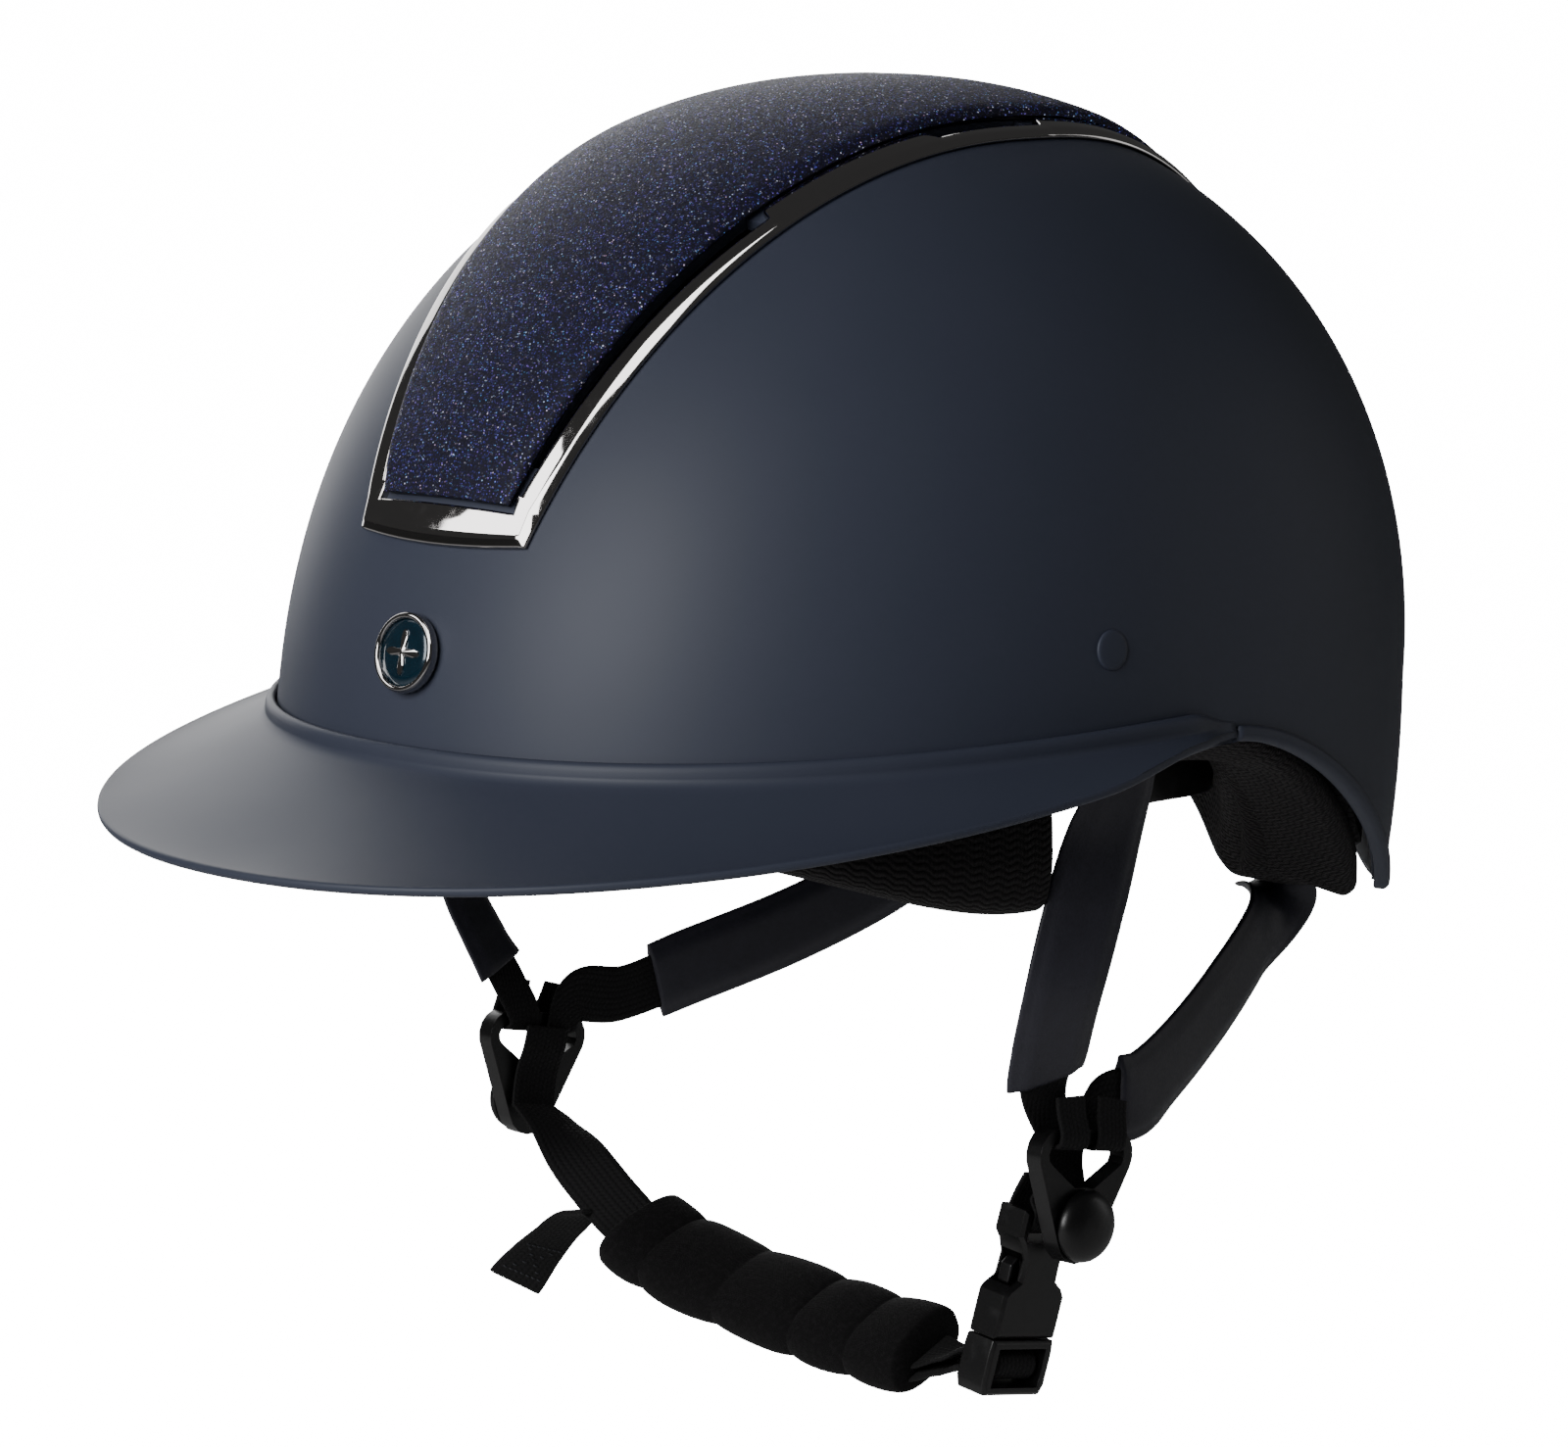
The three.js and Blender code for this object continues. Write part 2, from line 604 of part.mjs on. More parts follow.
const mirrored = (stops, sign) => stops.map(({ at, wide }) => ({
  at: V(at[0] * sign, at[1], at[2]),
  wide: V(wide[0] * sign, wide[1], wide[2]),
}));

const BAR = { top: 13, front: -6.9, rear: 6.9 };
const LOOP_WIDTH = 10.5;
const easeIn = (from, to) => (t) => lerp(WEB.width, LOOP_WIDTH, smooth((t - from) / (to - from)));

// The end of a web comes down inside the ring, wraps its top bar and is sewn to itself outside.
function barLoop(middle, sign, lean) {
  const x = sign * HARNESS.half;
  const out = RING.thickness / 2 + WEB.thickness / 2 + 0.5;
  const under = BAR.top - RING.bar / 2 - WEB.thickness / 2 - 0.5;
  const over = (dx, a, b) => ({ at: hang(x + sign * dx, middle + a, b), wide: HANG_REAR });
  return [
    over(-out, 0, BAR.top), over(-out * 0.86, 0, under + 0.5), over(0, 0, under),
    over(out * 0.86, 0, under + 0.5), over(out, 0, BAR.top), over(out * 0.55, lean * 0.6, BAR.top + 5),
    over(out * 0.3, lean, BAR.top + 9),
  ];
}

function frontStops(sign) {
  const upper = shrink(SHELL, SHELL_WALL + STRAP_SPACE / 2);
  const onWall = (y, z) => {
    const p = atHeight(upper, Math.atan2(109, -y), z);
    return [p.x, p.y, p.z];
  };
  return mirrored([
    { at: onWall(-27, 31), wide: [0.1, 1, 0.1] },
    { at: onWall(-23, 14), wide: [0.08, 1, 0.1] },
    { at: onWall(-20, 1), wide: [0.08, 1, 0] },
    { at: [104.6, -19, -9], wide: [0.16, 1, 0] },
    { at: [102, -21, -20], wide: [0.3, 1, 0] },
    { at: [101, -26, -35], wide: [0.38, 1, 0] },
    { at: [98.6, -30.2, -54], wide: [0.38, 1, 0] },
    { at: [92.6, -27.4, -69], wide: [0.3, 1, -0.05] },
    { at: [88, -23.8, -80], wide: [0.15, 1, -0.1] },
  ], sign);
}

function frontStrap(side, sign) {
  const stops = frontStops(sign);
  const web = run([...stops, ...barLoop(BAR.front, sign, -1)], 40);
  addSolid(`front_web_${side}`, band(web, easeIn(0.48, 0.6), WEB.thickness), FINISH.webbing);
  const covered = web.slice(10, 21);
  addSolid(`front_cover_${side}`, coverSleeve(covered), FINISH.leather);
}

// The rear straps start inside the nape; the right one hangs a little slacker than the left.
function rearStops(sign) {
  const down = [0, 0.1, -1];
  const sag = sign > 0 ? 0 : 2.5;
  return mirrored([
    { at: [54, 109, -34], wide: [0.88, -0.5, 0] },
    { at: [53.5, 111, -47], wide: [0.85, -0.5, -0.1] },
    { at: [56, 105.5, -58.5], wide: [0.5, -0.3, -0.8] },
    { at: [61.5, 90, -67], wide: down },
    { at: [69.5, 64, -77 + sag * 0.2], wide: down },
    { at: [79.5, 34, -84.2 - sag * 0.2], wide: down },
    { at: [85.2, 14, -88 - sag * 0.6], wide: [0, 0.4, -0.9] },
  ], sign);
}

function rearStrap(side, sign) {
  const turnIn = { at: hang(sign * (HARNESS.half - 3.7), BAR.rear + 3, BAR.top + 6.4), wide: V(0, 0.8, -0.6) };
  const web = run([...rearStops(sign), turnIn, ...barLoop(BAR.rear, sign, 1)], 42);
  addSolid(`rear_web_${side}`, band(web, easeIn(0.46, 0.6), WEB.thickness), FINISH.webbing);
  const covered = web.slice(8, sign > 0 ? 20 : 17);
  addSolid(`rear_cover_${side}`, coverSleeve(covered), FINISH.leather);
}

// Pockets in the liner and the nape pad that the rear webs pass through.
const strapSlots = () => [1, -1].map((sign) => {
  const stops = rearStops(sign).slice(0, 4);
  stops[0].at.z += 6;
  return band(run(stops, 10), WEB.width + 4, WEB.thickness + 4);
});

// ---------------------------------------------------------------- divider rings and cam caps
// The outline round a set of circles, as a tight string would lie on them.
function stringRound(circles, steps = 20) {
  const points = circles.flatMap(([a, b, r]) => range(steps, (i) => {
    const turn = (i / steps) * 2 * Math.PI;
    return [a + r * Math.cos(turn), b + r * Math.sin(turn)];
  }));
  points.sort((p, q) => p[0] - q[0] || p[1] - q[1]);
  const half = (list) => {
    const out = [];
    for (const p of list) {
      while (out.length > 1) {
        const [o, q] = [out[out.length - 2], out[out.length - 1]];
        if ((q[0] - o[0]) * (p[1] - o[1]) - (q[1] - o[1]) * (p[0] - o[0]) > 1e-9) break;
        out.pop();
      }
      out.push(p);
    }
    out.pop();
    return out;
  };
  return [...half(points), ...half(points.slice().reverse())].map(([a, b]) => new THREE.Vector2(a, b));
}

// A flat shape drawn in the harness plane (a to the rear, b up), given a thickness along x.
function plate(outline, holes, thickness) {
  const shape = new THREE.Shape(outline);
  shape.holes = holes.map((h) => new THREE.Path(h));
  const geometry = new THREE.ExtrudeGeometry(shape, { depth: thickness, bevelEnabled: false });
  geometry.translate(0, 0, -thickness / 2);
  const basis = new THREE.Matrix4().makeBasis(HANG_REAR, hang(0, 0, 1).sub(hang(0, 0, 0)), V(1, 0, 0));
  geometry.applyMatrix4(basis);
  return geometry;
}

function dividers() {
  const outer = stringRound([[-11.2, 8.6, 6], [11.2, 8.6, 6], [1, -8.8, 8]], 16);
  const hole = stringRound([[-11.2, 8.6, 2.8], [11.2, 8.6, 2.8], [-2, 3.2, 2.4], [3.4, 3.2, 2.4]], 10);
  for (const [side, sign] of [['left', 1], ['right', -1]]) {
    const ring = plate(outer, [hole.slice().reverse()], RING.thickness);
    const seat = hang(sign * HARNESS.half, 0, 0);
    ring.translate(seat.x, seat.y, seat.z);
    addSolid(`divider_${side}`, ring, FINISH.plastic);
    const r = 8.6;
    const cap = turned([[0, 0], [r - 0.6, 0], [r, 0.7], [r * 0.93, 2.2], [r * 0.7, 3.6], [r * 0.35, 4.3], [0, 4.5]], 24);
    cap.scale(1.12, 1, 0.98);
    cap.rotateZ(-sign * (Math.PI / 2));
    cap.rotateX(-HARNESS.tilt);
    const spot = hang(sign * (HARNESS.half + RING.thickness / 2 + GAP), 1.6, -7.6);
    cap.translate(spot.x, spot.y, spot.z);
    addSolid(`cam_cap_${side}`, cap, FINISH.plastic);
  }
}

// ---------------------------------------------------------------- buckle
// Buckle frame: w across (to the rear), s up along the buckle and t out through its face.
function buckleMatrix() {
  const [c, s] = [Math.cos(BUCKLE.lean), Math.sin(BUCKLE.lean)];
  const up = V(s, 0, 0).add(hang(0, 0, 1).sub(hang(0, 0, 0)).multiplyScalar(c));
  const out = V(c, 0, 0).add(hang(0, 0, 1).sub(hang(0, 0, 0)).multiplyScalar(-s));
  const matrix = new THREE.Matrix4().makeBasis(HANG_REAR, up, out);
  return matrix.setPosition(hang(BUCKLE.x, 0, BUCKLE.z));
}

function block(w0, w1, s0, s1, t0, t1) {
  const box = new THREE.BoxGeometry(w1 - w0, s1 - s0, t1 - t0);
  box.translate((w0 + w1) / 2, (s0 + s1) / 2, (t0 + t1) / 2);
  return box;
}

function profileBlock(points, thickness) {
  const shape = new THREE.Shape(points.map(([w, s]) => new THREE.Vector2(w, s)));
  const geometry = new THREE.ExtrudeGeometry(shape, {
    depth: thickness - 1.6, bevelEnabled: true, bevelThickness: 0.8, bevelSize: 0.8, bevelOffset: -0.8, bevelSegments: 1,
  });
  geometry.translate(0, 0, -thickness / 2 + 0.8);
  return geometry;
}

const bothSides = (points) => [...points, ...points.slice().reverse().map(([w, s]) => [-w, s])];

function buckle() {
  const matrix = buckleMatrix();
  const place = (name, geometry) => addSolid(name, tidySolid(geometry).applyMatrix4(matrix), FINISH.plastic);
  const femaleOutline = bothSides([[11, 0.2], [11, 10.5], [9.8, 12], [6.8, 14], [6.6, 19], [8.6, 22.5], [10.6, 24.5], [10.6, 31]]);
  const female = cut(profileBlock(femaleOutline, BUCKLE.thickness), [
    block(-8.8, 8.8, -1, 20.5, -3.1, 3.1),
    block(-8.4, 8.4, 23.4, 27.6, -6, 6),
    block(-8.4, 8.4, 27, 33, 2.6, 6),
    block(-8.4, 8.4, 27, 33, -6, -2.6),
  ]);
  place('buckle_female', female);
  const maleOutline = bothSides([[11, -0.2], [11.4, -3], [11.4, -11], [10.2, -13.6]]);
  const male = cut(profileBlock(maleOutline, BUCKLE.thickness + 0.4), [
    block(-8.6, 8.6, -5.4, -2.2, -7, 7),
    block(-8.6, 8.6, -11.6, -8.4, -7, 7),
    block(-8.6, 8.6, -8.6, -5.2, 1.5, 7),
    block(-8.6, 8.6, -8.6, -5.2, -7, -1.5),
  ]);
  place('buckle_male', join([male, block(-1.5, 1.5, -0.8, 15, -1.7, 1.7)]));
  for (const [side, sign] of [['front', -1], ['rear', 1]]) {
    const outline = [[3.4, 0.25], [5, 0.25], [6, 11], [8.2, 13], [8.3, 17.2], [6.4, 19.2], [5, 18.4], [4.2, 11]];
    const shape = new THREE.Shape(outline.map(([w, s]) => new THREE.Vector2(w * sign, s)));
    const prong = new THREE.ExtrudeGeometry(shape, { depth: 3.4, bevelEnabled: false });
    prong.translate(0, 0, -1.7);
    place(`buckle_prong_${side}`, prong);
  }
}

// The female half hangs from the divider on a short web that wraps its end bar.
function buckleStrap() {
  const matrix = buckleMatrix();
  const inBuckle = (s, t) => V(0, s, t).applyMatrix4(matrix);
  const wide = HANG_REAR;
  const stops = [
    { at: hang(HARNESS.half - RING.thickness / 2 - 1.1, 0, 6), wide },
    { at: hang(HARNESS.half - RING.thickness / 2 - 1.3, 0, 1), wide },
    ...[[33.4, 1.8], [30.4, 3.95], [27.4, 3.75], [25.9, 2.2], [25.4, 0], [25.9, -2.2], [27.4, -3.75], [30.4, -3.95],
      [34, -3.2], [38.5, -1.8]].map(([s, t]) => ({ at: inBuckle(s, t), wide })),
  ];
  addSolid('buckle_web', band(run(stops, 26), WEB.width, WEB.thickness), FINISH.webbing);
}

// ---------------------------------------------------------------- chin strap
const CHIN_PATH = [[-86.2, -9], [-79.6, -12.2], [-64.1, -22.2], [-52, -29.4], [-40.3, -34.8], [-22, -39.2],
  [11.3, -43], [30, -44.4], [51, -45], [62, -43.8], [69, -41.2]];

// The cushion sits on the chin with its rear edge tipped up, and the web twists to follow it.
function chinStrap() {
  const matrix = buckleMatrix();
  const inBuckle = (s, t) => V(0, s, t).applyMatrix4(matrix);
  const tipped = V(0, 0.92, 0.38);
  const twist = (x) => HANG_REAR.clone().lerp(tipped, smooth((x + 75) / 30) * smooth((68 - x) / 16));
  const onPlane = ([x, b]) => ({ at: hang(x, 0, b), wide: twist(x) });
  const stops = CHIN_PATH.map(onPlane);
  const roundBar = [[-3.8, -3.2], [-3.7, 0], [-4.6, 2.5], [-6.9, 3.3], [-9.2, 2.5], [-10.1, 0], [-10, -3.2], [-10, -7]];
  const turn = roundBar.map(([s, t]) => ({ at: inBuckle(s, t), wide: HANG_REAR }));
  const web = run([...stops, ...turn, ...[[62, -47.2], [53, -47.8]].map(onPlane)], 58);
  addSolid('chin_web', band(web, WEB.width, WEB.thickness), FINISH.webbing);
  const middle = run(stops, 81).slice(Math.round(PAD.start * 80), Math.round(PAD.end * 80) + 1);
  const low = hang(0, 0, 0.4).sub(hang(0, 0, 0));
  const stations = middle.filter((s, i) => i % 2 === 0).map((s) => ({ ...s, at: s.at.clone().add(low) }));
  const puff = (i) => {
    const t = (i / (stations.length - 1)) * PAD.segments;
    return 0.84 + 0.16 * Math.sqrt(Math.abs(Math.sin(t * Math.PI)));
  };
  const outer = stations.map((s, i) => softLoop(s, PAD.width * lerp(1, puff(i), 0.5), PAD.thickness * puff(i)));
  const inner = stations.map((s) => slotLoop(s, WEB.width + 3, 6.6));
  addSolid('chin_pad', sleeve(outer, inner), FINISH.webbing);
  const fixed = [[6, 0], [0, 0], [-7.6, 0.2]].map(([b, dx]) => ({
    at: hang(-HARNESS.half + RING.thickness / 2 + 1.1 + dx, 0, b), wide: HANG_REAR }));
  addSolid('chin_anchor_web', band(run(fixed, 6), WEB.width, WEB.thickness), FINISH.webbing);
  const ends = V(0.74, 0.55, 0.38);
  const fall = [[-57, -31.4], [-64, -32.6], [-71, -38.5], [-78, -46], [-84, -54]];
  const tail = run(fall.map(([x, b], i) => ({ at: hang(x, 0, b), wide: HANG_REAR.clone().lerp(ends, i / 4) })), 12);
  addSolid('strap_tail', band(tail, WEB.width, 1.6), FINISH.webbing);
}

// ---------------------------------------------------------------- fit cradle
const BAND_DOME = shrink(CAVITY, 3.6);

function cradleLoop(angle, half, middle) {
  const p = atHeight(BAND_DOME, angle, middle);
  const out = V(p.x, p.y, 0).normalize();
  const at = (o, up) => p.clone().addScaledVector(out, o).add(V(0, 0, up));
  const t = CRADLE.thickness / 2;
  return [at(-t, -half), at(t, -half), at(t, half), at(-t, half)];
}

function cradle() {
  const dialZ = CRADLE.dial;
  for (const [side, sign] of [['left', 1], ['right', -1]]) {
    const arm = loft(range(17, (i, t) => {
      const angle = sign * rad(lerp(104, 161, t));
      const rise = lerp(-16, dialZ, smooth(t * 1.1));
      return cradleLoop(angle, lerp(5, CRADLE.height / 2, smooth(t * 1.3)), rise);
    }));
    addSolid(`cradle_arm_${side}`, arm, FINISH.plastic);
    const rackZ = dialZ + sign * 5.4;
    const rack = new THREE.BoxGeometry(27, 1.8, 3.4);
    rack.translate(sign * 17.6, 106.6, rackZ);
    addSolid(`fit_rack_${side}`, rack, FINISH.plastic);
  }
  const y = 109;
  const housing = cut(profileBlockY([[-19, -11], [19, -11], [23, 0], [19, 11], [-19, 11], [-23, 0]], y - 4.4, y + 2.4, dialZ), [
    centredBox(60, 2.6, 4.2, 0, 106.6, dialZ + 5.4),
    centredBox(60, 2.6, 4.2, 0, 106.6, dialZ - 5.4),
    cylinderY(4.1, 105.2, 108, dialZ, 20),
    cylinderY(2.2, 107, 113, dialZ, 16),
  ]);
  addSolid('fit_dial_housing', housing, FINISH.plastic);
  addSolid('fit_pinion', gearY(2.9, 3.6, 9, 105.6, 107.6, dialZ), FINISH.plastic);
  const knob = join([gearY(10.6, 11.3, 20, 111.8, 118.4, dialZ), cylinderY(1.8, 107.95, 112.2, dialZ, 16)]);
  addSolid('fit_dial_knob', knob, FINISH.plastic);
}

function centredBox(sx, sy, sz, x, y, z) {
  const box = new THREE.BoxGeometry(sx, sy, sz);
  box.translate(x, y, z);
  return box;
}

// Pieces drawn in the x-z plane and given a thickness along y.
function profileBlockY(points, y0, y1, z) {
  const shape = new THREE.Shape(points.map(([a, b]) => new THREE.Vector2(a, b)));
  const geometry = new THREE.ExtrudeGeometry(shape, { depth: y1 - y0, bevelEnabled: false });
  geometry.rotateX(Math.PI / 2);
  geometry.translate(0, y1, z);
  return geometry;
}

function cylinderY(radius, y0, y1, z, segments) {
  const points = range(segments, (i) => {
    const turn = (i / segments) * 2 * Math.PI;
    return [radius * Math.cos(turn), radius * Math.sin(turn)];
  });
  return profileBlockY(points, y0, y1, z);
}

function gearY(root, tip, teeth, y0, y1, z) {
  const points = range(teeth * 2, (i) => {
    const turn = (i / (teeth * 2)) * 2 * Math.PI;
    const r = i % 2 ? tip : root;
    return [r * Math.cos(turn), r * Math.sin(turn)];
  });
  return profileBlockY(points, y0, y1, z);
}

// ---------------------------------------------------------------- assembly
const shellRim = (a) => rimAt(SHELL, a);
const shellBody = domeShell(SHELL, shrink(SHELL, SHELL_WALL), shellRim, shellRim, 48, 9);
add('outer_shell', cut(shellBody, ventSlots()), FINISH.shell);
addSolid('brim', brim(), FINISH.shell);
addSolid('edge_trim', edgeTrim(), FINISH.shell);
addSolid('crown_trim', trimFrame(), FINISH.chrome);
const ACROSS = [-1, -0.97, -0.7, -0.36, 0, 0.36, 0.7, 0.97, 1];
const rounded = (edge, shoulder) => ACROSS.map((share) => {
  const reach = Math.abs(share);
  if (reach === 1) return [share, edge];
  return [share, reach > 0.9 ? shoulder : 1 + 0.06 * (1 - reach)];
});
const flat = ACROSS.map((share) => [share, 1]);
addSolid('panel_carrier', crownStrip((a) => panelHalf(a) - 1, PANEL_FROM, PANEL_TO, flat, () => CARRIER_RISE, 0.75),
  FINISH.plastic);
addSolid('panel_cover', crownStrip(panelHalf, PANEL_FROM, PANEL_TO, rounded(0.7, 0.93), (t) => PANEL_RISE * endRound(t),
  CARRIER_RISE + 1), FINISH.glitter);
badge();
sidePlugs();
addSolid('impact_liner', impactLiner(), FINISH.foam);
addSolid('brow_pad', browPad(), FINISH.mesh);
addSolid('nape_pad', napePad(), FINISH.mesh);
addSolid('crown_pad', crownPad(), FINISH.mesh);
for (const [side, sign] of [['left', 1], ['right', -1]]) {
  frontStrap(side, sign);
  rearStrap(side, sign);
}
dividers();
buckle();
buckleStrap();
chinStrap();
cradle();

export default helmet;
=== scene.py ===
"""Riding helmet: matt shell with a wide peak, glitter crown panel, padded liner, fit dial and chin harness.

Every shape is a numpy surface in millimetres, in the helmet's own frame: the peak points to -Y, the crown
to +Z and the wearer's left is +X.  Meshes are written in metres.
"""

import logging
import math
from dataclasses import dataclass, replace
from enum import Enum
from typing import Any, Callable, ClassVar, Sequence

import bmesh
import bpy
import numpy as np
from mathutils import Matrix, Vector


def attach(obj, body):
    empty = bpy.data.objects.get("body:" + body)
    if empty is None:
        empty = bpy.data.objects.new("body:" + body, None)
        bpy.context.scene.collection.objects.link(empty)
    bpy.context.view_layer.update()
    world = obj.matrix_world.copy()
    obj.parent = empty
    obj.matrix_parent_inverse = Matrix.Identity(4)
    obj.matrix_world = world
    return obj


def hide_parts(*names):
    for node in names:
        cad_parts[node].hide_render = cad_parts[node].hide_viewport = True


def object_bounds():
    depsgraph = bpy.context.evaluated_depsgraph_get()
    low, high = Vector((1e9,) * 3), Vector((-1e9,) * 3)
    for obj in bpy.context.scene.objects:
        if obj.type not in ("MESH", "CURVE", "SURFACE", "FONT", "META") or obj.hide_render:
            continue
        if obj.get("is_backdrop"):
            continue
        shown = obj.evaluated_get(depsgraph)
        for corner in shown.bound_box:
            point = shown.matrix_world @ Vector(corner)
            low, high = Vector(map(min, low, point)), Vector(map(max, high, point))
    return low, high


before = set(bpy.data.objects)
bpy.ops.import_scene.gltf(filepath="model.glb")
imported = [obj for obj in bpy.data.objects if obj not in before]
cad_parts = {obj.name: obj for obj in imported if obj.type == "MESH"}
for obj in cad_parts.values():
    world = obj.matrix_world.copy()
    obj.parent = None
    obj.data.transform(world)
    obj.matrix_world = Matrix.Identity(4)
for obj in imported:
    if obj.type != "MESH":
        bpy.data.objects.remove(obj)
CAD_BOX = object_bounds()
LOG = logging.getLogger("helmet")
Array = np.ndarray
Colour = tuple[float, float, float]
Ramp = tuple[tuple[float, Colour], ...]

MM = 0.001
PER_METRE = 1000.0
FULL_TURN = 2 * math.pi
TINY = 1e-12
# A turned piece's poles keep this radius, so that their faces have an area.
POLE_RADIUS = 0.02
# Copies of frame nodes: corners this near are one (in metres), edges flatter than the first angle dissolve,
# edges past the second are rounded, and edges past the third stay sharp.
SAME_PLACE = 1e-6
FLAT_ANGLE = math.radians(2)
ROUNDED_ANGLE = math.radians(28)
SHARP_ANGLE = math.radians(32)


# ---------------------------------------------------------------- arrays
def vec(*values: float) -> Array:
    """Return the numbers as one float array."""
    return np.array(values, dtype=float)


def unit(v: Array) -> Array:
    """Return vectors scaled to length one, along the last axis."""
    return v / np.maximum(np.linalg.norm(v, axis=-1, keepdims=True), TINY)


def smooth(t: Array | float) -> Array:
    """Return the s-curve 3t^2 - 2t^3 of t held between 0 and 1."""
    c = np.clip(t, 0.0, 1.0)
    return c * c * (3.0 - 2.0 * c)


def mix(a: Any, b: Any, t: Any) -> Any:
    """Return a at t = 0, b at t = 1 and the straight line between."""
    return a + (b - a) * t


def widest(inside: Callable[[Array], Array], like: Array, high: float = 260.0) -> Array:
    """Find the largest radius that is still inside, by halving the interval on whole arrays.

    Args:
        inside: Says for an array of radii which lie inside.
        like: An array of the wanted shape.
        high: A radius known to be outside.

    Returns:
        The radii, of the same shape as like.
    """
    low, top = np.zeros_like(like, dtype=float), np.full_like(like, high, dtype=float)
    for _ in range(34):
        middle = (low + top) / 2
        within = inside(middle)
        low, top = np.where(within, middle, low), np.where(within, top, middle)
    return (low + top) / 2


def rounded_outline(points: Array, radius: float, steps: int = 4) -> Array:
    """Round closed outlines: a corner p between a and c becomes the curve (1-t)^2 a + 2t(1-t) p + t^2 c.

    Args:
        points: Outlines of shape (..., n, 3).
        radius: How far from the corner a and c lie, at most 0.45 of the shorter side.
        steps: Points made for each corner.

    Returns:
        Outlines of shape (..., n * steps, 3).
    """
    back, fore = np.roll(points, 1, axis=-2) - points, np.roll(points, -1, axis=-2) - points
    shorter = np.minimum(np.linalg.norm(back, axis=-1), np.linalg.norm(fore, axis=-1))[..., None]
    reach = np.minimum(radius, 0.45 * shorter)
    a, c = ((points + unit(way) * reach)[..., None, :] for way in (back, fore))
    t = np.linspace(0, 1, steps)[:, None]
    curve = (1 - t) ** 2 * a + 2 * t * (1 - t) * points[..., None, :] + t**2 * c
    return curve.reshape(*points.shape[:-2], points.shape[-2] * steps, 3)


def through(points: Array, t: Array, tension: float | None = None) -> Array:
    """Follow a smooth curve through points: cubics whose slopes come from each point's neighbours.

    Args:
        points: The points, of shape (n, 3).
        t: Where to read the curve, from 0 at the first point to 1 at the last.
        tension: Fixed share of the neighbours' difference, or None to weigh it by the square roots of the
            distances.

    Returns:
        The points on the curve.
    """
    last = len(points) - 1
    i = np.minimum(np.floor(np.clip(t, 0, 1) * last).astype(int), last - 1)
    w = (np.clip(t, 0, 1) * last - i)[:, None]
    all_points = np.concatenate([[2 * points[0] - points[1]], points, [2 * points[-1] - points[-2]]])
    p0, p1, p2, p3 = (all_points[i + k] for k in range(4))
    if tension is None:
        pairs = ((p0, p1), (p1, p2), (p2, p3))
        d0, d1, d2 = (np.sqrt(np.linalg.norm(b - a, axis=-1, keepdims=True)) for a, b in pairs)
        m1 = ((p1 - p0) / d0 - (p2 - p0) / (d0 + d1) + (p2 - p1) / d1) * d1
        m2 = ((p2 - p1) / d1 - (p3 - p1) / (d1 + d2) + (p3 - p2) / d2) * d1
    else:
        m1, m2 = tension * (p2 - p0), tension * (p3 - p1)
    return ((2 * w**3 - 3 * w**2 + 1) * p1 + (w**3 - 2 * w**2 + w) * m1
            + (-2 * w**3 + 3 * w**2) * p2 + (w**3 - w**2) * m2)


def squircle(count: int, power: float) -> Array:
    """Return points of the oval |a|^power + |b|^power = 1, starting at a = 1.

    Args:
        count: How many points.
        power: 2 gives an ellipse and more a squarer oval.

    Returns:
        The points, of shape (count, 2).
    """
    turn = np.arange(count) / count * FULL_TURN
    c, s = np.cos(turn), np.sin(turn)
    return np.stack([np.sign(c) * np.abs(c) ** (2 / power), np.sign(s) * np.abs(s) ** (2 / power)], axis=-1)


# ---------------------------------------------------------------- meshes
def grid_quads(rows: int, columns: int) -> Array:
    """Return the quads between neighbouring loops of a grid whose columns go all the way round.

    Args:
        rows: How many loops.
        columns: Points in each loop.

    Returns:
        The corners' numbers, of shape (n, 4).
    """
    i, j = np.meshgrid(np.arange(rows - 1), np.arange(columns), indexing="ij")
    k = (j + 1) % columns
    here, above = i * columns, (i + 1) * columns
    return np.stack([here + j, here + k, above + k, above + j], axis=-1).reshape(-1, 4)


